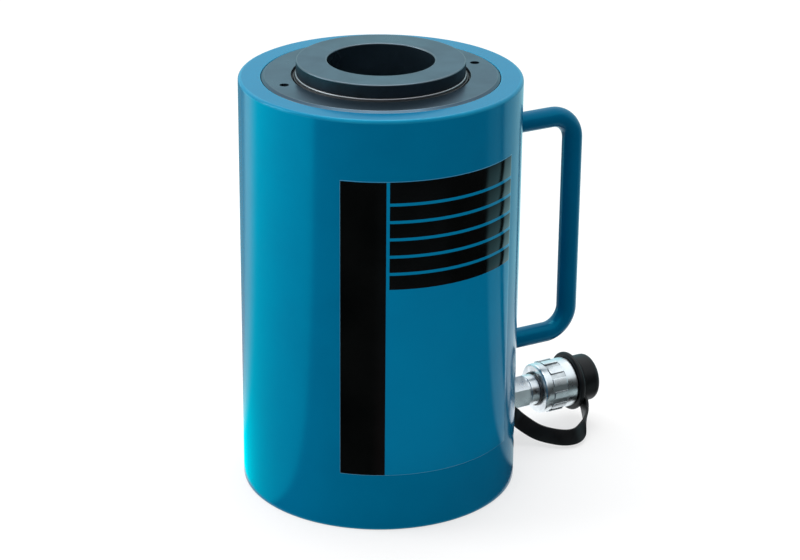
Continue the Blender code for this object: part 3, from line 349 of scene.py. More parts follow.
def weldTree():
    # a rippled fillet bead round the bar, laid on the barrel's curved wall
    tree, given = newTree(
        "weldBead", height=float, seamRadius=float, wallRadius=float, beadRadius=float, ripples=int
    )
    circle = addNode(
        tree, "GeometryNodeCurvePrimitiveCircle", {"Resolution": 192, "Radius": given["seamRadius"]}
    )
    position = addNode(tree, "GeometryNodeInputPosition").outputs[0]
    flat = addNode(tree, "ShaderNodeSeparateXYZ", {0: position})
    side = flat.outputs["X"]
    depth = calc(tree, "SQRT", calc(
        tree, "SUBTRACT", calc(tree, "POWER", given["wallRadius"], 2), calc(tree, "POWER", side, 2)
    ))
    rise = calc(tree, "ADD", flat.outputs["Y"], given["height"])
    spot = addNode(tree, "ShaderNodeCombineXYZ", {"X": depth, "Y": side, "Z": rise})
    laid = addNode(
        tree, "GeometryNodeSetPosition", {"Geometry": circle.outputs[0], "Position": spot.outputs[0]}
    )
    share = addNode(tree, "GeometryNodeSplineParameter").outputs["Factor"]
    phase = calc(tree, "MULTIPLY", share, calc(tree, "MULTIPLY", given["ripples"], turn / 2))
    wave = calc(tree, "SINE", phase)
    swell = calc(tree, "ADD", 0.9, calc(tree, "MULTIPLY", calc(tree, "ABSOLUTE", wave), 0.14))
    section = addNode(
        tree, "GeometryNodeCurvePrimitiveCircle", {"Resolution": 16, "Radius": given["beadRadius"]}
    )
    swept = addNode(
        tree,
        "GeometryNodeCurveToMesh",
        {"Curve": laid.outputs[0], "Profile Curve": section.outputs[0], "Scale": swell},
    )
    return endTree(tree, swept.outputs[0], given)


def ringTree():
    # copies of one piece round the axis, joined to the shell that carries them
    tree, given = newTree(
        "roundTheAxis", shell=bpy.types.Object, piece=bpy.types.Object, count=int, first=float
    )
    points = addNode(tree, "GeometryNodePoints", {"Count": given["count"]})
    step = calc(tree, "DIVIDE", turn, given["count"])
    index = addNode(tree, "GeometryNodeInputIndex").outputs[0]
    angle = calc(tree, "ADD", given["first"], calc(tree, "MULTIPLY", index, step))
    spin = addNode(tree, "ShaderNodeCombineXYZ", {"Z": angle})
    source = addNode(tree, "GeometryNodeObjectInfo", {"Object": given["piece"]})
    copies = addNode(
        tree,
        "GeometryNodeInstanceOnPoints",
        {
            "Points": points.outputs[0],
            "Instance": source.outputs["Geometry"],
            "Rotation": spin.outputs[0],
        },
    )
    shell = addNode(tree, "GeometryNodeObjectInfo", {"Object": given["shell"]})
    both = addNode(tree, "GeometryNodeJoinGeometry", {"Geometry": copies.outputs[0]})
    tree.links.new(shell.outputs["Geometry"], both.inputs[0])
    return endTree(tree, both.outputs[0], given)


def rowTree():
    # copies of one printed row, each a pitch below the last
    tree, given = newTree("rowsDown", piece=bpy.types.Object, count=int, pitch=float)
    step = addNode(tree, "ShaderNodeCombineXYZ", {"Z": calc(tree, "MULTIPLY", given["pitch"], -1)})
    line = addNode(tree, "GeometryNodeMeshLine", {"Count": given["count"], "Offset": step.outputs[0]})
    source = addNode(tree, "GeometryNodeObjectInfo", {"Object": given["piece"]})
    copies = addNode(
        tree,
        "GeometryNodeInstanceOnPoints",
        {"Points": line.outputs[0], "Instance": source.outputs["Geometry"]},
    )
    return endTree(tree, copies.outputs[0], given)


# Finishes. Lengths in millimetres: mottle and grain are the size of a spot, grooves their pitch.

finishes = {
    "bluePaint": {
        "slot": "blue_paint", "colour": (0.0, 0.15, 0.3), "second": (0.0, 0.141, 0.285),
        "edge": (0.01, 0.22, 0.38), "roughness": (0.13, 0.18), "shine": 0.35, "shineTint": (0.0, 0.8, 1.0),
        "mottle": 34, "grain": 5.0, "grainDepth": 0.011,
    },
    # a darker copy of the blue paint: painted shade on the handle, which stands in the barrel's shade
    "shadedHandlePaint": {
        "slot": "blue_paint", "colour": (0.0, 0.1, 0.212), "second": (0.0, 0.092, 0.198),
        "edge": (0.0, 0.14, 0.26), "roughness": (0.15, 0.21), "shine": 0.35, "shineTint": (0.0, 0.8, 1.0),
        "mottle": 30, "grain": 5.0, "grainDepth": 0.011,
    },
    "blackOxide": {
        "slot": "black_oxide", "colour": (0.052, 0.09, 0.125), "second": (0.042, 0.074, 0.102),
        "edge": (0.12, 0.15, 0.17), "roughness": (0.27, 0.36), "metallic": 0.9, "anisotropic": 0.5,
        "mottle": 26, "grain": 2.4, "grainDepth": 0.004, "grooves": 1.3, "grooveDepth": 0.0035,
    },
    "groundSteel": {
        "slot": "ground_steel", "colour": (0.55, 0.56, 0.58), "second": (0.47, 0.48, 0.5),
        "edge": (0.6, 0.61, 0.63), "roughness": (0.16, 0.24), "metallic": 1.0, "anisotropic": 0.3,
        "mottle": 30, "grain": 2.0, "grainDepth": 0.001, "grooves": 0.9, "grooveDepth": 0.001,
    },
    "zincPlate": {
        "slot": "zinc_plate", "colour": (0.8, 0.83, 0.84), "second": (0.7, 0.735, 0.75),
        "edge": (0.82, 0.85, 0.87), "roughness": (0.24, 0.36), "metallic": 1.0,
        "mottle": 7, "grain": 3.0, "grainDepth": 0.002, "grooves": 0.8, "grooveDepth": 0.001,
        "alongX": True,
    },
    "springSteel": {
        "slot": "spring_steel", "colour": (0.1, 0.1, 0.11), "second": (0.15, 0.14, 0.13),
        "roughness": (0.35, 0.5), "metallic": 0.9, "mottle": 7, "grain": 1.6, "grainDepth": 0.01,
    },
    "blackRubber": {
        "slot": "black_rubber", "colour": (0.003, 0.0033, 0.0038), "second": (0.0048, 0.0052, 0.006),
        "edge": (0.009, 0.0095, 0.0105), "roughness": (0.36, 0.48), "shine": 0.22, "mottle": 9, "grain": 1.4,
        "grainDepth": 0.006, "alongX": True,
    },
    "sealRubber": {
        "slot": "black_rubber", "colour": (0.007, 0.007, 0.008), "second": (0.012, 0.012, 0.013),
        "roughness": (0.42, 0.56), "mottle": 9, "grain": 1.2, "grainDepth": 0.006,
    },
    "redPolyurethane": {
        "slot": "seal_polyurethane", "colour": (0.27, 0.06, 0.03), "second": (0.22, 0.045, 0.022),
        "roughness": (0.34, 0.46), "mottle": 12, "grain": 1.6, "grainDepth": 0.004,
    },
    "whiteNylon": {
        "slot": "backup_nylon", "colour": (0.7, 0.68, 0.62), "second": (0.64, 0.62, 0.56),
        "roughness": (0.45, 0.58), "mottle": 14, "grain": 1.6, "grainDepth": 0.006,
    },
    "bronzeBand": {
        "slot": "bearing_bronze", "colour": (0.43, 0.26, 0.1), "second": (0.34, 0.2, 0.08),
        "roughness": (0.4, 0.55), "mottle": 5, "grain": 1.0, "grainDepth": 0.006,
    },
    # the film's edge colour is a painted highlight
    "labelFilm": {
        "colour": (0.0, 0.2, 0.39), "second": (0.0, 0.19, 0.375), "edge": (0.3, 0.5, 0.6),
        "roughness": (0.07, 0.12), "shineTint": (0.3, 0.85, 1.0), "mottle": 45, "grain": 14.0,
        "grainDepth": 0.01,
    },
    "labelBlack": {
        "colour": (0.0015, 0.002, 0.002), "second": (0.003, 0.0035, 0.0035), "edge": (0.012, 0.013, 0.014),
        "roughness": (0.06, 0.11), "mottle": 40, "grain": 14.0, "grainDepth": 0.008,
    },
}


# how the mottle's noise is read, what it does to the edges' wear and painted highlight, and to the painted
# shade
wearAndPaintedLight = {
    "patches": (0.35, 0.65), "spread": (0.3, 0.7), "wornAndLitEdge": (0.35, 0.9), "shadeShare": (0.6, 0.95),
    "darkShade": (0.018, 0.02, 0.022), "shadeRoughness": 0.7, "grooveRise": 0.8,
}


def finishMaterial(name):
    look = finishes[name]
    material = bpy.data.materials.new(name)
    material.use_nodes = True
    tree = material.node_tree
    shader = tree.nodes["Principled BSDF"]
    place = addNode(tree, "ShaderNodeTexCoord").outputs["Object"]
    if look.get("alongX"):
        # the pattern's axis is laid along the coupler, portHeight above the ground
        shifted = addNode(
            tree, "ShaderNodeMapping", {"Vector": place, "Location": (0, 0, -portHeight * mm)}
        )
        place = addNode(
            tree, "ShaderNodeMapping", {"Vector": shifted.outputs[0], "Rotation": (0, -turn / 4, 0)}
        ).outputs[0]
    mottle = addNode(
        tree, "ShaderNodeTexNoise", {"Vector": place, "Scale": 1000 / look["mottle"], "Detail": 4.0}
    ).outputs["Fac"]
    patch = remap(tree, mottle, *wearAndPaintedLight["patches"], 0, 1)
    colour = addNode(
        tree,
        "ShaderNodeMix",
        {0: patch, 6: (*look["colour"], 1), 7: (*look["second"], 1)},
        data_type="RGBA",
    ).outputs[2]
    rough = remap(tree, mottle, *wearAndPaintedLight["spread"], *look["roughness"])
    # rounded corners take the lighter edge colour: partly edge wear, partly painted highlight
    if "edge" in look:
        edge = addNode(tree, "ShaderNodeAttribute", attribute_name="edge").outputs["Fac"]
        wornAndLit = calc(tree, "MULTIPLY", edge, remap(tree, mottle, *wearAndPaintedLight["spread"], *wearAndPaintedLight["wornAndLitEdge"]))
        colour = addNode(
            tree, "ShaderNodeMix", {0: wornAndLit, 6: colour, 7: (*look["edge"], 1)}, data_type="RGBA"
        ).outputs[2]
    # painted shade: the attribute darkens the colour and raises the roughness
    darkShade = addNode(tree, "ShaderNodeAttribute", attribute_name="paintedShade").outputs["Fac"]
    darkShade = calc(tree, "MULTIPLY", darkShade, remap(tree, mottle, *wearAndPaintedLight["spread"], *wearAndPaintedLight["shadeShare"]))
    colour = addNode(
        tree, "ShaderNodeMix", {0: darkShade, 6: colour, 7: (*wearAndPaintedLight["darkShade"], 1)}, data_type="RGBA"
    ).outputs[2]
    rough = remap(tree, darkShade, 0, 1, rough, wearAndPaintedLight["shadeRoughness"])
    tree.links.new(colour, shader.inputs["Base Color"])
    tree.links.new(rough, shader.inputs["Roughness"])
    shader.inputs["Metallic"].default_value = look.get("metallic", 0.0)
    shader.inputs["Anisotropic"].default_value = look.get("anisotropic", 0.0)
    shader.inputs["Specular IOR Level"].default_value = look.get("shine", 0.5)
    shader.inputs["Specular Tint"].default_value = (*look.get("shineTint", (1, 1, 1)), 1)
    grain = addNode(
        tree, "ShaderNodeTexNoise", {"Vector": place, "Scale": 1000 / look["grain"], "Detail": 2.0}
    ).outputs["Fac"]
    bump = addNode(
        tree, "ShaderNodeBump", {"Height": grain, "Distance": look["grainDepth"] * mm, "Strength": 1.0}
    )
    if "grooves" in look:
        # tool marks run round the axis on faces, walls and cones alike
        parts = addNode(tree, "ShaderNodeSeparateXYZ", {0: place}).outputs
        flat = calc(tree, "ADD", calc(tree, "POWER", parts["X"], 2), calc(tree, "POWER", parts["Y"], 2))
        rise = calc(tree, "MULTIPLY", parts["Z"], wearAndPaintedLight["grooveRise"])
        course = calc(tree, "ADD", calc(tree, "SQRT", flat), rise)
        wave = calc(tree, "SINE", calc(tree, "MULTIPLY", course, turn / (look["grooves"] * mm)))
        bump = addNode(
            tree,
            "ShaderNodeBump",
            {
                "Height": wave,
                "Distance": look["grooveDepth"] * mm,
                "Strength": 1.0,
                "Normal": bump.outputs[0],
            },
        )
    tree.links.new(bump.outputs[0], shader.inputs["Normal"])
    return material


materials = {name: finishMaterial(name) for name in finishes}
print("finishes made:", len(materials))


def threaded(name, finish, place=upright, **lengths):
    # a thread's ridge; its sizes are given in millimetres
    sizes = {key: length * mm for key, length in lengths.items()}
    return grown(name, threadTree(), materials[finish], place, **sizes)


def fitted(obj, finish, body, *standsFor):
    # the last step of every piece: its finish, its body and the CAD nodes it stands for
    obj.data.materials.clear()
    obj.data.materials.append(materials[finish])
    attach(obj, body)
    if standsFor:
        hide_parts(*standsFor)
    return obj


# The barrel

barrel = {
    "height": 324.0, "topRound": 2.4, "footRound": 1.6, "floor": 30.0, "bore": 82.5, "pocket": 89.0,
    "pocketFloor": 280.0, "tubeHole": 51.1, "tubeSeat": 56.3, "tubeSeatTop": 9.8,
    "wallRings": (316, 308, 302, 296, 286, 240, 190, 140, 90, 56, 40, 26, 12),
    "baseHoleRadius": 7.0, "baseHoleDepth": 19.0, "baseHoleCircle": 89.0, "baseHoles": 4,
    "portRadius": 8.7, "oilRadius": 4.5, "screwHoleRadius": 4.3, "screwHeight": 302.0,
    "screwAngle": math.radians(150), "threadPitch": 2.0, "threadDepth": 0.75,
    "threadLow": 1.5, "threadHigh": 17.5, "outside": 112.0, "portFloor": 90.7, "oilHole": (78, 95),
    "screwFloor": 80.0, "screwRadius": 4.0, "screwEnds": (89.3, 103.6), "socketRadius": 2.3,
    "socketDepth": 5.0,
}


def onAngle(angle, radius, height):
    return Matrix.Rotation(angle, 4, "Z") @ Matrix.Translation((radius * mm, 0, height * mm))


def makeBarrel():
    # the rings up the wall keep its faces short beside the port and the set screw
    top, floor, bore, pocket = (barrel[key] for key in ("height", "floor", "bore", "pocket"))
    body = turned("barrel", [
        (barrelRadius, top, barrel["topRound"]),
        *((barrelRadius, height) for height in barrel["wallRings"]),
        (barrelRadius, 0, barrel["footRound"]), (barrel["tubeSeat"], 0, 0.6),
        (barrel["tubeSeat"], barrel["tubeSeatTop"]), (barrel["tubeHole"], barrel["tubeSeatTop"]),
        (barrel["tubeHole"], floor, 0.5), (bore, floor), (bore, barrel["pocketFloor"], 0.4),
        (pocket, barrel["pocketFloor"]), (pocket, top, 1.0),
    ], 256)
    screwAxis = Matrix.Rotation(barrel["screwAngle"], 4, "Z") @ Matrix.Translation(
        (0, 0, barrel["screwHeight"] * mm)) @ Matrix.Rotation(turn / 4, 4, "Y")
    tools = [
        drill(barrel["portRadius"], barrel["portFloor"], barrel["outside"], alongX()),
        drill(barrel["oilRadius"], *barrel["oilHole"], alongX()),
        drill(barrel["screwHoleRadius"], barrel["screwFloor"], barrel["outside"], screwAxis, 36),
    ]
    for index in range(barrel["baseHoles"]):
        angle = turn * (index + 0.5) / barrel["baseHoles"]
        place = onAngle(angle, barrel["baseHoleCircle"], 0)
        tools.append(drill(barrel["baseHoleRadius"], -2, barrel["baseHoleDepth"], place))
    carved(body, tools)
    fitted(body, "bluePaint", "cylinder", "cylinder_body")
    thread = threaded(
        "thread", "groundSteel", onAngle(0, barrel["baseHoleCircle"], 0),
        wallRadius=barrel["baseHoleRadius"], pitch=barrel["threadPitch"], low=barrel["threadLow"],
        high=barrel["threadHigh"], depth=barrel["threadDepth"],
    )
    empty = linked(bpy.data.objects.new("emptyShell", bpy.data.meshes.new("emptyShell")))
    threads = grown(
        "baseHoleThreads", ringTree(), materials["groundSteel"], shell=empty, piece=thread,
        count=barrel["baseHoles"], first=turn / 8,
    )
    bpy.data.objects.remove(thread)
    bpy.data.objects.remove(empty)
    fitted(threads, "groundSteel", "cylinder")
    screwRadius, (inner, outer) = barrel["screwRadius"], barrel["screwEnds"]
    screw = turned("stopRingSetScrew", [
        (0, outer), (screwRadius, outer, 0.5), (screwRadius, inner, 0.8), (0, inner),
    ], 48, place=screwAxis)
    socketFloor = outer - barrel["socketDepth"]
    carved(screw, [drill(barrel["socketRadius"], socketFloor, outer + 1.4, screwAxis, 6)])
    fitted(screw, "blackOxide", "cylinder", "stop_ring_set_screw")


makeBarrel()
print("barrel made")


# Stop ring, plunger and saddle

spannerHoles = {"radius": 3.5, "depth": 12.0, "circle": 76.1, "angle": math.radians(-7)}
stopRing = {
    "top": 325.0, "radius": 88.7, "chamfer": (2.1, 1.5), "foot": 280.3, "skirt": (76.2, 82.2),
    "skirtFoot": 192.0, "bore": 64.1, "bearingGroove": (66.6, 286.0, 299.6),
    "wiperGroove": (69.5, 314.0, 322.0), "wiperMouth": 66.5,
}
plunger = {
    "top": 326.0, "radius": 63.5, "tubeBore": 51.6, "saddleBore": 54.3, "saddleSeat": 299.0,
    "piston": 81.9, "pistonFoot": 49.3, "pistonTop": 91.7, "foot": 30.3, "shadeFrom": 324.5,
}
saddle = {
    "top": 336.3, "seat": 326.3, "radius": 63.0, "hole": 40.0, "stem": 54.0, "stemFoot": 299.3,
    "sealGroove": (51.45, 315.8, 318.8),
}
# the ridges on the saddle's stem and in the plunger: body, finish, wall, low, high, depth
headThreads = {
    "saddleThread": ("saddle_group", "blackOxide", 53.65, 301.5, 315.0, 0.55),
    "plungerThread": ("plunger_group", "groundSteel", 54.65, 300.0, 314.0, 0.5),
}
finePitch = 1.5    # of the saddle's and the sleeve's threads


def makeStopRing():
    top, radius, foot, bore = (stopRing[key] for key in ("top", "radius", "foot", "bore"))
    wide, deep = stopRing["chamfer"]
    inner, outer = stopRing["skirt"]
    bearingWall, bearingLow, bearingHigh = stopRing["bearingGroove"]
    wiperWall, wiperLow, wiperHigh = stopRing["wiperGroove"]
    ring = turned("stopRing", [
        (radius - wide, top, 0.4), (radius, top - deep, 0.3), (radius, foot, 0.4), (outer, foot),
        (outer, stopRing["skirtFoot"], 0.6), (inner, stopRing["skirtFoot"], 0.6),
        (inner, barrel["pocketFloor"]), (bore, barrel["pocketFloor"], 0.5),
        (bore, bearingLow), (bearingWall, bearingLow), (bearingWall, bearingHigh), (bore, bearingHigh),
        (bore, wiperLow), (wiperWall, wiperLow), (wiperWall, wiperHigh),
        (stopRing["wiperMouth"], wiperHigh), (stopRing["wiperMouth"], top, 0.6),
    ])
    tools = []
    for side in range(2):
        place = onAngle(spannerHoles["angle"] + side * turn / 2, spannerHoles["circle"], 0)
        tools.append(drill(spannerHoles["radius"], top - spannerHoles["depth"], top + 3, place))
    carved(ring, tools)
    fitted(ring, "blackOxide", "cylinder", "stop_ring")
    wiper = turned("plungerWiper", [
        (69.2, 321.7, 0.5), (69.2, 314.3, 0.4), (63.8, 314.3, 0.4), (63.8, 324.2, 0.4),
        (65, 324.2, 0.4), (65, 321.7, 0.6),
    ])
    fitted(wiper, "sealRubber", "cylinder", "plunger_wiper")
    band = turned("stopRingBearing", bar(63.8, 66.3, 286.3, 299.3), 128)
    fitted(band, "bronzeBand", "cylinder", "stop_ring_bearing")


def makePlunger():
    # down the outside to the piston with its two grooves, then up inside with the same two
    piston, bore, foot = plunger["piston"], plunger["tubeBore"], plunger["foot"]
    body = turned("hollowPlunger", [
        (plunger["radius"], plunger["top"], 0.7), (plunger["radius"], plunger["pistonTop"]),
        (piston, plunger["pistonTop"], 0.6), (piston, 86), (79.4, 86), (79.4, 74), (piston, 74),
        (piston, 68.6), (74.9, 68.6), (74.9, 55), (piston, 55), (piston, plunger["pistonFoot"], 0.5),
        (78, plunger["pistonFoot"]), (78, foot, 1.0), (61, foot, 0.5), (61, foot + 5),
        (bore, foot + 5, 0.5), (bore, 55), (58.4, 55), (58.4, 68.6), (bore, 68.6), (bore, 74),
        (53.9, 74), (53.9, 86), (bore, 86), (bore, plunger["saddleSeat"]),
        (plunger["saddleBore"], plunger["saddleSeat"]), (plunger["saddleBore"], plunger["top"], 0.8),
    ])
    # painted shade on the plunger's top outer edge, which lies in the saddle's shade
    paintShade(body, lambda radius, height: radius > 62 and height > plunger["shadeFrom"], 0.6)
    fitted(body, "groundSteel", "plunger_group", "plunger")


def makeSaddle():
    top, seat, radius, hole, stem = (saddle[key] for key in ("top", "seat", "radius", "hole", "stem"))
    groove, low, high = saddle["sealGroove"]
    body = turned("hollowSaddle", [
        (radius, top, 0.9), (radius, seat, 0.7), (stem, seat), (stem, high, 0.2), (groove, high),
        (groove, low), (stem, low, 0.2), (stem, saddle["stemFoot"], 1.2),
        (hole, saddle["stemFoot"], 0.8), (hole, top, 0.9),
    ])
    # painted shade makes the flange's wall the darkest face of the saddle
    paintShade(body, lambda out, height: out > radius - 0.05 and height < top - 0.7, 0.9)
    fitted(body, "blackOxide", "saddle_group", "saddle")
    for name, (group, finish, wall, low, high, depth) in headThreads.items():
        ridge = threaded(name, finish, wallRadius=wall, pitch=finePitch, low=low, high=high, depth=depth)
        fitted(ridge, finish, group)


makeStopRing()
makePlunger()
makeSaddle()
print("stop ring, plunger and saddle made")


# Inner rings: name, CAD node, body, finish, section

innerRings = [
    ("centreTube", "centre_tube", "cylinder", "groundSteel", [
        (50.8, 297, 0.6), (50.8, 291.3), (47.8, 291.3), (47.8, 283.3), (50.8, 283.3), (50.8, 33.1),
        (49.3, 33.1), (49.3, 30), (50.8, 30), (50.8, 22.8), (48.25, 22.8), (48.25, 19.2), (50.8, 19.2),
        (50.8, 9.5), (56, 9.5, 0.4), (56, 0.5, 1.0), (39.6, 0.5, 1.0), (39.6, 297, 1.0)]),
    ("tubeHeadGuideRing", "tube_head_guide_ring", "cylinder", "bronzeBand", bar(48.1, 51.3, 283.6, 291)),
    ("pistonCupSeal", "piston_cup_seal", "plunger_group", "redPolyurethane", [
        (82.2, 64.7, 0.6), (82.2, 55.3, 0.4), (80.66, 55.3, 0.4), (78.7, 59.8, 0.5), (76.74, 55.3, 0.4),
        (75.2, 55.3, 0.4), (75.2, 64.7, 0.6)]),
    ("tubeCupSeal", "tube_cup_seal", "plunger_group", "redPolyurethane", [
        (58.1, 64.7, 0.6), (58.1, 55.3, 0.4), (56.56, 55.3, 0.4), (54.6, 59.8, 0.5), (52.64, 55.3, 0.4),
        (51.1, 55.3, 0.4), (51.1, 64.7, 0.6)]),
    ("pistonBackupRing", "piston_backup_ring", "plunger_group", "whiteNylon", bar(75.2, 82.2, 65, 68.3)),
    ("tubeBackupRing", "tube_backup_ring", "plunger_group", "whiteNylon", bar(51.1, 58.1, 65, 68.3)),
    ("pistonGuideRing", "piston_guide_ring", "plunger_group", "bronzeBand", bar(79.7, 82.2, 74.3, 85.7)),
    ("boreGuideRing", "plunger_bore_guide_ring", "plunger_group", "bronzeBand",
     bar(51.1, 53.6, 74.3, 85.7)),
    ("tubeORing", "tube_o_ring", "cylinder", "sealRubber", bar(48.85, 50.95, 19.95, 22.05, 1.04)),
    ("saddleORing", "saddle_o_ring", "saddle_group", "sealRubber", bar(52.05, 54.15, 316.25, 318.35, 1.04)),
]
for name, node, body, finish, section in innerRings:
    fitted(turned(name, section, 144, 4), finish, body, node)
cadNodes["tube_circlip"].data.materials.clear()
cadNodes["tube_circlip"].data.materials.append(materials["springSteel"])
print("inner rings made")


# Springs

springs = {
    "returnSpring": {"wireRadius": 4.5, "coilRadius": 69.85, "low": 92.0, "high": 279.7, "turns": 7},
    "checkSpring": {"wireRadius": 0.6, "coilRadius": 5.3, "low": 27.8, "high": 37.6, "turns": 4},
}


def makeSpring(name, node, place, points):
    sizes = springs[name]
    lengths = {key: sizes[key] * mm for key in ("wireRadius", "coilRadius", "low", "high")}
    spring = grown(
        name, springTree(), materials["springSteel"], place, turns=sizes["turns"], points=points, **lengths
    )
    return fitted(spring, "springSteel", "cylinder", node)


returnSpring = makeSpring("returnSpring", "return_spring", upright, 64)
checkSpring = makeSpring("checkSpring", "check_spring", alongX(couplerStart), 40)
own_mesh(returnSpring)
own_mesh(checkSpring)
print("springs made")


# Handle and its welds

handle = {"start": 104.8, "reach": 172.0, "low": 85.0, "high": 267.0, "bend": 20.0, "barRadius": 8.0}
weld = {"seamRadius": 8.6, "wallRadius": 106.1, "beadRadius": 1.9, "ripples": 26}


def makeHandle():
    lengths = {key: value * mm for key, value in handle.items()}
    bent = grown("carryingHandle", handleTree(), materials["shadedHandlePaint"], **lengths)
    fitted(bent, "shadedHandlePaint", "cylinder", "handle")
    tree = weldTree()
    beadSizes = {key: weld[key] * mm for key in ("seamRadius", "wallRadius", "beadRadius")}
    for name, height in (("lowerWeld", handle["low"]), ("upperWeld", handle["high"])):
        bead = grown(
            name, tree, materials["bluePaint"], height=height * mm, ripples=weld["ripples"], **beadSizes
        )
        fitted(bead, "bluePaint", "cylinder")


makeHandle()
print("handle made")


# Quick coupler: heights run outwards along +X from couplerStart, the nipple's from the axis

nipple = {"radius": 8.4, "tipRadius": 7.9, "ends": (91.0, 129.8)}
coupler = {
    "hexRadius": 14.2, "hexLength": 17.0, "hexChamfer": 1.7, "padCount": 12, "padArc": 6.4,
    "padStart": 35.3, "padEnd": 48.1, "padRound": 0.9, "padFoot": 19.6, "padTop": 21.3, "padEdge": 0.4,
    "padSkirt": 20.2, "neck": 12.7, "neckGroove": 11.8, "nose": 14.6, "noseEnd": 52.5,
    "sleeve": 20.3, "sleeveWaist": 19.9, "sleeveStart": 28.2, "sleeveEnd": 58.2, "sleeveBore": 17.2,
    "sleeveThreadWall": 17.3, "ballRadius": 5.5, "ballMiddle": 40.6, "snapGap": (6.0, 5.4, 4.0),
}


def makePad():
    # one grip pad, curved to the sleeve, with rounded corners and broken upper edges
    half = coupler["padArc"] / 2
    low, high, size = coupler["padStart"], coupler["padEnd"], coupler["padRound"]
    outline = []
    for centreY, centreX, first in (
        (half - size, high - size, 0), (-half + size, high - size, 1),
        (-half + size, low + size, 2), (half - size, low + size, 3),
    ):
        for step in range(5):
            angle = turn / 4 * (first + step / 4)
            outline.append((centreY + size * math.cos(angle), centreX + size * math.sin(angle)))
    shape = bmesh.new()
    shadeLayer = shape.verts.layers.float.new("paintedShade")
    edgeLayer = shape.verts.layers.float.new("edge")
    rings = []
    edge, top = coupler["padEdge"], coupler["padTop"]
    # painted shade on the pad's foot and skirt; its broken upper edge takes the lighter edge colour, partly
    # painted highlight
    for radius, inset, paintedShade in (
        (coupler["padFoot"], 0, 1.0), (coupler["padSkirt"], 0, 1.0), (top - edge, 0, 0.1),
        (top - edge * 0.3, edge * 0.25, 0), (top, edge, 0), (top, edge + 0.3, 0),
    ):
        ring = []
        for across, along in outline:
            mid = (low + high) / 2
            sideShare = 1 - inset / half
            lengthShare = 1 - inset / (mid - low)
            angle = across * sideShare / top
            height = mid + (along - mid) * lengthShare
            spot = Vector((radius * math.cos(angle), radius * math.sin(angle), height)) * mm
            vert = shape.verts.new(spot)
            vert[shadeLayer] = paintedShade
            vert[edgeLayer] = 1.0 if 0 < inset <= edge else 0.0
            ring.append(vert)
        rings.append(ring)
    for lower, upper in zip(rings, rings[1:]):
        for index in range(len(lower)):
            after = (index + 1) % len(lower)
            shape.faces.new((lower[index], lower[after], upper[after], upper[index]))
    # the top is closed by strips that keep its curve
    count = len(rings[-1])
    quarter = count // 4
    order = rings[-1]
    for index in range(count // 2 - 1):
        a, b = order[(quarter - 1 - index) % count], order[(quarter - 2 - index) % count]
        c, d = order[(quarter + 1 + index) % count], order[(quarter + index) % count]
        shape.faces.new((a, b, c, d))
    shape.faces.new(reversed(rings[0]))
    bmesh.ops.recalc_face_normals(shape, faces=shape.faces)
    mesh = bpy.data.meshes.new("gripPad")
    shape.to_mesh(mesh)
    shape.free()
    return linked(bpy.data.objects.new("gripPad", mesh))


def makeCouplerBody(place):
    inner, outer = nipple["ends"]
    wall, tip, hole = nipple["radius"], nipple["tipRadius"], barrel["oilRadius"]
    stub = turned("portNipple", [
        (tip, outer, 0.4), (wall, couplerStart), (wall, barrelRadius), (tip, inner, 0.4),
        (hole, inner), (hole, outer),
    ], 72, place=alongX())
    fitted(stub, "zincPlate", "cylinder", "port_nipple")
    end, size, cut = coupler["hexLength"], coupler["hexRadius"], coupler["hexChamfer"]
    hexagon = turned("hexagon", [(0, end), (size, end), (size, 0), (0, 0)], 6, place=place)
    crown = turned("crown", [
        (0, end + 0.3), (size - cut, end + 0.3), (size + 0.1, end - cut * 0.55),
        (size + 0.1, cut * 0.55), (size - cut, -0.3), (0, -0.3),
    ], 96, place=place)
    carved(hexagon, [crown], "INTERSECT")
    neck, groove, nose = coupler["neck"], coupler["neckGroove"], coupler["nose"]
    core = turned("couplerBody", [
        (0, coupler["noseEnd"]), (nose, coupler["noseEnd"], 0.9), (nose, 37.5, 0.3), (neck, 37.5),
        (neck, 28.2), (groove, 28.2), (groove, 25.8), (neck, 25.8), (neck, 18.6, 0.8), (12.0, 18.6),
        (12.0, 2), (0, 2),
    ], 96, place=place)
    carved(core, [hexagon], "UNION")
    passage = turned("passage", [
        (0, 61.7), (10.4, 61.7), (10.4, 43.5), (5.05, 43.5), (6.2, 41.46), (6.2, 27.46), (4.5, 27.46),
        (4.5, 14.3), (8.7, 14.3), (8.7, -16), (0, -16),
    ], 96, place=place)
    carved(core, [passage])
    fitted(core, "zincPlate", "cylinder", "coupler_body")
    seal = turned("couplerNoseSeal", bar(7.9, 10.1, 43.8, 46.8, 0.4), 72, 4, place)
    fitted(seal, "redPolyurethane", "cylinder", "coupler_nose_seal")


def makeSleeve(place):
    out, waist, bore = coupler["sleeve"], coupler["sleeveWaist"], coupler["sleeveBore"]
    start, end = coupler["sleeveStart"], coupler["sleeveEnd"]
    low, high = coupler["padStart"] - 0.2, coupler["padEnd"] + 0.2
    shell = turned("shell", [
        (out, end, 1.0), (out, high, 0.15), (waist, high), (waist, low), (out, low, 0.15),
        (out, start, 1.6), (13, start, 1.2), (13, 37.2), (bore, 37.2), (bore, end, 0.8),
    ], 144)
    # painted shade on the sleeve's waist in the slots between the pads
    paintShade(shell, lambda radius, height: abs(radius - waist) < 0.1 and 35 < height < 49, 0.3)
    pad = makePad()
    sleeve = grown(
        "couplerSleeve", ringTree(), materials["zincPlate"], place, shell=shell, piece=pad,
        count=coupler["padCount"], first=0.0,
    )
    bpy.data.objects.remove(shell)
    bpy.data.objects.remove(pad)
    fitted(sleeve, "zincPlate", "sleeve_group", "coupler_sleeve")
    thread = threaded(
        "sleeveThread", "zincPlate", place, wallRadius=coupler["sleeveThreadWall"], pitch=finePitch,
        low=45.7, high=57.2, depth=0.5,
    )
    fitted(thread, "zincPlate", "sleeve_group")


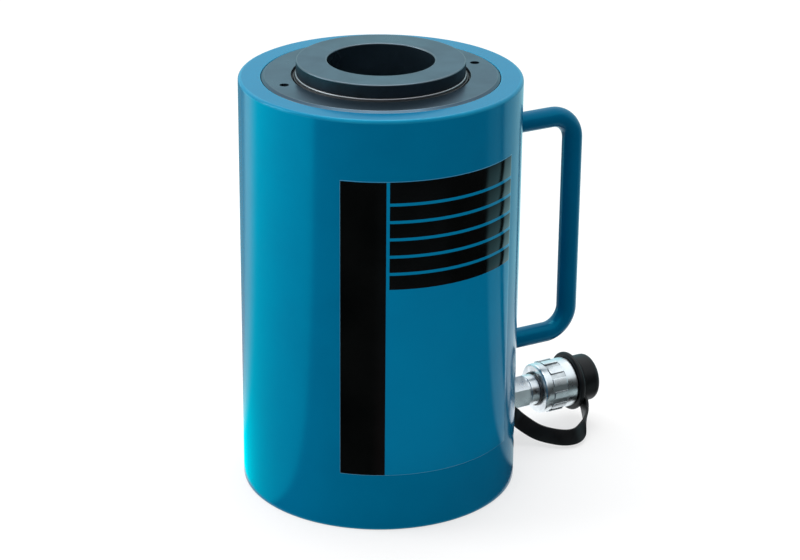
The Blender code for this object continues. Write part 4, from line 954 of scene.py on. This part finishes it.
def makeCheckBall(place):
    steps, radius, middle = 24, coupler["ballRadius"], coupler["ballMiddle"]
    angles = [turn / 2 * step / steps for step in range(steps + 1)]
    ball = turned("checkBall", [
        (radius * math.sin(angle), middle + radius * math.cos(angle)) for angle in angles
    ], 48, place=place)
    fitted(ball, "groundSteel", "ball_group", "check_ball")


def makeSnapRing(place):
    ring = turned("sleeveSnapRing", bar(12.1, 13.9, 26.1, 27.9, 0.88), 96, 4, place)
    gap = linked(bpy.data.objects.new("gap", bpy.data.meshes.new("gap")))
    block = bmesh.new()
    middle = place @ Matrix.Translation((-13 * mm, 0, 27 * mm))
    size = Matrix.Diagonal((*(length * mm for length in coupler["snapGap"]), 1))
    bmesh.ops.create_cube(block, matrix=middle @ size)
    block.to_mesh(gap.data)
    block.free()
    carved(ring, [gap])
    fitted(ring, "springSteel", "cylinder", "sleeve_snap_ring")


for makePiece in (makeCouplerBody, makeSleeve, makeCheckBall, makeSnapRing):
    makePiece(alongX(couplerStart))
print("coupler made")


# Dust cap and its strap

strap = {
    "width": 13.0, "thickness": 2.4, "ringWall": 5.5, "ringThickness": 2.6, "rootX": 108.8, "capX": 180.3,
    "nippleRadius": 8.7, "grooveRadius": 14.3, "tongue": 7.0, "tongueStep": 0.3, "bulge": 42.0,
    "lowPoint": 8.5, "samples": 120, "round": 0.7, "down": (0, -0.8, -0.6), "up": (0, 0.3, 0.95),
    "course": (
        (0.08, 0.38, 3.05), (0.18, 0.43, 2.2), (0.33, 0.64, 1.3), (0.51, 0.92, 1.03), (0.67, 1.0, 1.0),
        (0.81, 0.9, 1.15), (0.93, 0.7, 1.7),
    ),
}


def strapStations():
    # centre line and width direction, on the route that the CAD strap takes
    down = Vector(strap["down"]).normalized()
    across = down.cross(Vector((1, 0, 0)))
    up = Vector(strap["up"]).normalized()
    turning = (across + up).normalized()
    axis = Vector((0, 0, portHeight))
    tongue = Vector((strap["tongueStep"], 0, 0)) + down * strap["tongue"]
    rootX, capX = strap["rootX"], strap["capX"]
    root = Vector((rootX, 0, 0)) + axis + down * (strap["nippleRadius"] + strap["ringWall"] / 2)
    tip = Vector((capX, 0, 0)) + axis + down * (strap["grooveRadius"] + strap["ringWall"] / 2)
    knots = [(root, across), (root + tongue, turning)]
    last = len(strap["course"]) - 1
    for index, (along, forward, high) in enumerate(strap["course"]):
        place = Vector((rootX + (capX - rootX) * along, -strap["bulge"] * forward, strap["lowPoint"] * high))
        knots.append((place, turning if index == last else up))
    knots += [(tip + tongue, across), (tip, across)]
    stations = []
    for index in range(strap["samples"] + 1):
        place = (len(knots) - 1) * index / strap["samples"]
        part = min(int(place), len(knots) - 2)
        t = place - part
        near = [knots[max(0, min(len(knots) - 1, part + offset))] for offset in (-1, 0, 1, 2)]
        shares = (
            (-t + 2 * t * t - t**3) / 2, (2 - 5 * t * t + 3 * t**3) / 2,
            (t + 4 * t * t - 3 * t**3) / 2, (t**3 - t * t) / 2,
        )
        point = sum((knot[0] * share for knot, share in zip(near, shares)), Vector())
        width = sum((knot[1] * share for knot, share in zip(near, shares)), Vector())
        stations.append((point, width.normalized()))
    return stations


def makeStrap():
    stations = strapStations()
    half, thick, size = strap["width"] / 2, strap["thickness"] / 2, strap["round"]
    section = []
    for sideX, sideY, first in ((1, 1, 0), (-1, 1, 1), (-1, -1, 2), (1, -1, 3)):
        for step in range(4):
            angle = turn / 4 * (first + step / 3)
            section.append((
                sideX * (half - size) + size * math.cos(angle),
                sideY * (thick - size) + size * math.sin(angle),
            ))
    shape = bmesh.new()
    rings = []
    for index, (point, width) in enumerate(stations):
        before = stations[max(0, index - 1)][0]
        after = stations[min(len(stations) - 1, index + 1)][0]
        ahead = (after - before).normalized()
        face = ahead.cross(width).normalized()
        wide = face.cross(ahead)
        rings.append([shape.verts.new((point + wide * u + face * v) * mm) for u, v in section])
    for ring, other in zip(rings, rings[1:]):
        for index in range(len(section)):
            after = (index + 1) % len(section)
            shape.faces.new((ring[index], ring[after], other[after], other[index]))
    shape.faces.new(reversed(rings[0]))
    shape.faces.new(rings[-1])
    bmesh.ops.recalc_face_normals(shape, faces=shape.faces)
    mesh = bpy.data.meshes.new("capStrap")
    shape.to_mesh(mesh)
    shape.free()
    band = linked(bpy.data.objects.new("capStrap", mesh))
    rings = []
    for inner, middle in ((strap["nippleRadius"], strap["rootX"]), (strap["grooveRadius"], strap["capX"])):
        low = middle - strap["ringThickness"] / 2
        section = bar(inner, inner + strap["ringWall"], low, low + strap["ringThickness"], 0.6)
        rings.append(turned("strapRing", section, 96, 4, alongX()))
    carved(band, rings, "UNION")
    band.data.materials.clear()
    band.data.materials.append(materials["blackRubber"])
    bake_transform(band)
    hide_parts("dust_cap_strap")


def makeCap():
    cap = turned("dustCap", [
        (0, 80.6), (19.2, 80.6, 4.0), (19.2, 66.1, 0.6), (14, 66.1, 0.4), (14, 62.9, 0.4),
        (24, 62.9, 1.9), (24, 58.5, 1.9), (16.6, 58.5, 0.3), (16.6, 47.5, 0.6), (15.2, 47.5, 0.4),
        (15.2, 58.5), (0, 58.5),
    ], 128, 6, alongX(couplerStart))
    fitted(cap, "blackRubber", "cap_group", "dust_cap")


makeStrap()
makeCap()
print("dust cap and strap made")


# Label: a film on the barrel, with a black strip and six black rows, all bare

label = {
    "left": -134.9, "stripRight": -116.7, "rowsLeft": -115.4, "right": -54.2, "low": 46.0, "high": 278.3,
    "rowTops": 277.9, "headRow": 15.9, "row": 11.0, "pitch": 13.3, "filmLift": 0.16, "printLift": 0.24,
    "stripInset": (0.1, 0.3, 0.5), "rowInset": 0.3, "rows": 5, "rim": 0.25, "rimDrop": 0.06, "sunk": 0.4, "faceDegrees": 1.2, "faceHeight": 20,
}


def patch(name, left, right, low, high, lift):
    # a thin closed plate on the barrel's wall, with a narrow edge all round that is painted lighter as a
    # highlight
    rim = label["rim"]
    angles = [left, left + math.degrees(rim / barrelRadius)]
    inner = angles[-1]
    outer = right - math.degrees(rim / barrelRadius)
    count = max(2, round((outer - inner) / label["faceDegrees"]))
    angles += [inner + (outer - inner) * step / count for step in range(1, count + 1)]
    angles.append(right)
    span = high - low - 2 * rim
    rows = max(1, round(span / label["faceHeight"]))
    heights = [low] + [low + rim + span * step / rows for step in range(rows + 1)] + [high]
    shape = bmesh.new()
    edgeLayer = shape.verts.layers.float.new("edge")
    sheets = []
    for level in (-label["sunk"], lift):
        grid = []
        for row, height in enumerate(heights):
            line = []
            for column, angle in enumerate(angles):
                border = row in (0, len(heights) - 1) or column in (0, len(angles) - 1)
                drop = label["rimDrop"] if border and level > 0 else 0
                radius = barrelRadius + level - drop
                spot = Vector((radius, 0, height)) * mm
                vert = shape.verts.new(Matrix.Rotation(math.radians(angle), 3, "Z") @ spot)
                vert[edgeLayer] = 1.0 if border else 0.0
                line.append(vert)
            grid.append(line)
        sheets.append(grid)
    for grid in sheets:
        for lower, upper in zip(grid, grid[1:]):
            for column in range(len(angles) - 1):
                shape.faces.new((lower[column], lower[column + 1], upper[column + 1], upper[column]))
    inside, outside = sheets
    lastRow, lastColumn = len(heights) - 1, len(angles) - 1
    loop = [(0, column) for column in range(lastColumn)] + [(row, lastColumn) for row in range(lastRow)]
    loop += [(lastRow, column) for column in range(lastColumn, 0, -1)]
    loop += [(row, 0) for row in range(lastRow, 0, -1)]
    for (row, column), (nextRow, nextColumn) in zip(loop, loop[1:] + loop[:1]):
        shape.faces.new((
            inside[row][column], inside[nextRow][nextColumn],
            outside[nextRow][nextColumn], outside[row][column],
        ))
    bmesh.ops.recalc_face_normals(shape, faces=shape.faces)
    mesh = bpy.data.meshes.new(name)
    shape.to_mesh(mesh)
    shape.free()
    return smoothed(linked(bpy.data.objects.new(name, mesh)), 40)


def makeLabel():
    lift, printLift = label["filmLift"], label["printLift"]
    film = patch("labelFilm", label["left"], label["right"], label["low"], label["high"], lift)
    fitted(film, "labelFilm", "cylinder")
    rowsLeft, rowsRight = label["rowsLeft"], label["right"] - label["rowInset"]
    side, below, above = label["stripInset"]
    strip = patch("labelStrip", label["left"] + side, label["stripRight"], label["low"] + below,
                  label["high"] - above, printLift)
    fitted(strip, "labelBlack", "cylinder")
    top = label["rowTops"]
    head = patch("labelHeadRow", rowsLeft, rowsRight, top - label["headRow"], top, printLift)
    fitted(head, "labelBlack", "cylinder")
    firstTop = top - label["headRow"] - (label["pitch"] - label["row"])
    row = patch("row", rowsLeft, rowsRight, firstTop - label["row"], firstTop, printLift)
    rows = grown(
        "labelRows", rowTree(), materials["labelBlack"], piece=row, count=label["rows"],
        pitch=label["pitch"] * mm,
    )
    bpy.data.objects.remove(row)
    fitted(rows, "labelBlack", "cylinder")


makeLabel()
print("label made")


# Camera, floor and light

camera = {
    "lens": 112.34, "spot": (-0.86162, -1.54397, 0.88727), "look": (0.45774, 0.80356, -0.38048),
    "roll": 0.514, "near": 0.05, "far": 60,
}
lamps = {
    "keyLight": {"spot": (-1.39, 0.8, 0.95), "size": (0.9, 1.2), "power": 14},
    "topLight": {"spot": (0.15, 0.35, 1.85), "size": (1.3, 1.0), "power": 16},
    "frontLight": {"spot": (-1.53, -0.95, 1.0), "size": (0.9, 0.9), "power": 3.5},
}
lampAim = (0, 0, 0.17)
skyStrength = 0.77
floorLook = {"size": 8, "tone": 0.42, "glow": 0.58, "roughness": 0.9}
# what polished faces mirror: degrees round the barrel from +X, then red, green and blue
groundGlow = [
    (-180, 0.0, 1.3, 1.4), (-173, 0.0, 1.2, 1.3), (-169, 0.0, 0.0, 0.0), (-124, 0.0, 0.0, 0.0),
    (-118, 0.03, 0.035, 0.04), (-70, 0.03, 0.035, 0.04), (-62, 0.01, 0.01, 0.01), (-30, 0.01, 0.01, 0.01),
    (-26, 0.22, 0.5, 0.56), (-13, 0.26, 0.56, 0.62), (-11, 0.0, 0.0, 0.0), (-7.5, 0.0, 0.0, 0.0),
    (-5.5, 0.55, 1.05, 1.16), (16, 0.62, 1.15, 1.27), (54, 0.62, 1.15, 1.27), (60, 0.2, 0.45, 0.5),
    (75, 0.2, 0.4, 0.45), (104, 0.3, 0.5, 0.55), (116, 0.4, 0.85, 0.9), (128, 0.0, 1.15, 1.25),
    (150, 0.0, 1.3, 1.4), (180, 0.0, 1.3, 1.4),
]
wallGlow = [
    (-180, 0.55, 0.9, 0.98), (-172, 0.02, 0.02, 0.02), (-40, 0.02, 0.02, 0.02), (-30, 0.55, 0.9, 0.98),
    (180, 0.55, 0.9, 0.98),
]
skyGlow = [(-180, 1.15, 1.22, 1.27), (180, 1.15, 1.22, 1.27)]
cardSteps = 720
cardLift = 0.0008
leftCards = {"from": 104, "to": -124, "near": 1.45, "rise": 1.27, "start": 0.3, "end": 1.2}
rightCards = {"near": 1.2, "fall": 0.45, "least": 0.4, "greyTo": 0.5, "greyFade": 0.2}
greyShift = Vector((0.7, -0.06, -0.12))
# distance, height and table of each ring of cards
cardRings = [
    (0.108, 0.0, groundGlow), (0.25, 0.0, groundGlow), (0.5, 0.0, groundGlow), (0.9, 0.0, groundGlow),
    (1.6, 0.0, groundGlow), (3.5, 0.0, groundGlow), (3.5, 0.02, wallGlow), (3.5, 1.7, wallGlow),
    (3.4, 2.3, skyGlow), (2.8, 3.8, skyGlow), (1.6, 4.8, skyGlow), (0.02, 5.2, skyGlow),
]


def makeCamera():
    data = bpy.data.cameras.new("camera")
    data.lens = camera["lens"]
    data.sensor_width = 36
    data.clip_start = camera["near"]
    data.clip_end = camera["far"]
    obj = linked(bpy.data.objects.new("camera", data))
    look = Vector(camera["look"]).normalized()
    right = look.cross(Vector((0, 0, 1))).normalized()
    up = right.cross(look)
    frameMatrix = Matrix((right, up, -look)).transposed().to_4x4()
    roll = Matrix.Rotation(math.radians(camera["roll"]), 4, "Z")
    obj.matrix_world = Matrix.Translation(camera["spot"]) @ frameMatrix @ roll
    scene.camera = obj


def makeLamps():
    for name, lamp in lamps.items():
        data = bpy.data.lights.new(name, "AREA")
        data.shape = "RECTANGLE"
        data.size, data.size_y = lamp["size"]
        data.energy = lamp["power"]
        obj = linked(bpy.data.objects.new(name, data))
        obj.location = lamp["spot"]
        aim = Vector(lampAim) - Vector(lamp["spot"])
        obj.rotation_euler = aim.to_track_quat("-Z", "Y").to_euler()


def glowAt(table, angle):
    after = next(index for index, row in enumerate(table) if index and angle <= row[0])
    (low, *glow), (high, *nextGlow) = table[after - 1], table[after]
    return Vector(glow).lerp(Vector(nextGlow), (angle - low) / (high - low))


def cardGain(angle, distance):
    # the softbox on the left grows brighter away from the barrel; the cards on the right grow
    # dimmer, and are plain grey near the coupler
    plain = Vector((1, 1, 1))
    if angle > leftCards["from"] or angle < leftCards["to"]:
        past = max(0, min(distance, leftCards["end"]) - leftCards["start"])
        return plain * (leftCards["near"] + leftCards["rise"] * past)
    grey = max(0, min(1, (rightCards["greyTo"] - distance) / rightCards["greyFade"]))
    gain = max(rightCards["least"], rightCards["near"] - rightCards["fall"] * distance)
    return (plain + greyShift * grey) * gain


def makeCards():
    # only glossy rays meet them, as they would meet a studio's cards and its dark front half
    shape = bmesh.new()
    glowLayer = shape.verts.layers.float_color.new("glow")
    rings = []
    for distance, height, table in cardRings:
        ring = []
        for step in range(cardSteps):
            angle = -180 + 360 * step / cardSteps
            glow = glowAt(table, angle)
            if table is groundGlow:
                glow = glow * cardGain(angle, distance)
            spot = Vector((distance, 0, height + cardLift))
            vert = shape.verts.new(Matrix.Rotation(math.radians(angle), 3, "Z") @ spot)
            vert[glowLayer] = (*glow, 1)
            ring.append(vert)
        rings.append(ring)
    for ring, other in zip(rings, rings[1:]):
        for step in range(cardSteps):
            after = (step + 1) % cardSteps
            shape.faces.new((ring[step], other[step], other[after], ring[after]))
    mesh = bpy.data.meshes.new("groundCards")
    shape.to_mesh(mesh)
    shape.free()
    cards = linked(bpy.data.objects.new("groundCards", mesh))
    material = bpy.data.materials.new("studioCards")
    material.use_nodes = True
    tree = material.node_tree
    glow = addNode(tree, "ShaderNodeAttribute", attribute_name="glow").outputs["Color"]
    shine = addNode(tree, "ShaderNodeEmission", {"Color": glow, "Strength": 1.0})
    tree.links.new(shine.outputs[0], tree.nodes["Material Output"].inputs["Surface"])
    mesh.materials.append(material)
    cards.visible_camera = False
    cards.visible_diffuse = False
    cards.visible_transmission = False
    cards.visible_shadow = False


def seenDirectly(tree):
    # 1 where the camera sees it, also in a mirror or through glass; 0 where it only gives light
    path = addNode(tree, "ShaderNodeLightPath")
    seen = calc(tree, "MAXIMUM", path.outputs["Is Camera Ray"], path.outputs["Is Glossy Ray"])
    return calc(tree, "MAXIMUM", seen, path.outputs["Is Transmission Ray"])


def makeFloor():
    floor = linked(bpy.data.objects.new("floor", bpy.data.meshes.new("floor")))
    shape = bmesh.new()
    bmesh.ops.create_grid(shape, x_segments=4, y_segments=4, size=floorLook["size"])
    shape.to_mesh(floor.data)
    shape.free()
    material = bpy.data.materials.new("paleFloor")
    material.use_nodes = True
    tree = material.node_tree
    shader = tree.nodes["Principled BSDF"]
    shader.inputs["Base Color"].default_value = (*(floorLook["tone"],) * 3, 1)
    shader.inputs["Roughness"].default_value = floorLook["roughness"]
    shader.inputs["Specular IOR Level"].default_value = 0.0
    shader.inputs["Emission Color"].default_value = (1, 1, 1, 1)
    glow = calc(tree, "MULTIPLY", seenDirectly(tree), floorLook["glow"])
    tree.links.new(glow, shader.inputs["Emission Strength"])
    floor.data.materials.append(material)


def makeSky():
    world = bpy.data.worlds.new("studio")
    scene.world = world
    world.use_nodes = True
    tree = world.node_tree
    background = tree.nodes["Background"]
    background.inputs["Color"].default_value = (1, 1, 1, 1)
    strength = remap(tree, seenDirectly(tree), 0, 1, skyStrength, 1.0)
    tree.links.new(strength, background.inputs["Strength"])


makeCamera()
makeFloor()
makeSky()
makeCards()
makeLamps()
scene.view_settings.view_transform = "Standard"
print("stage made")
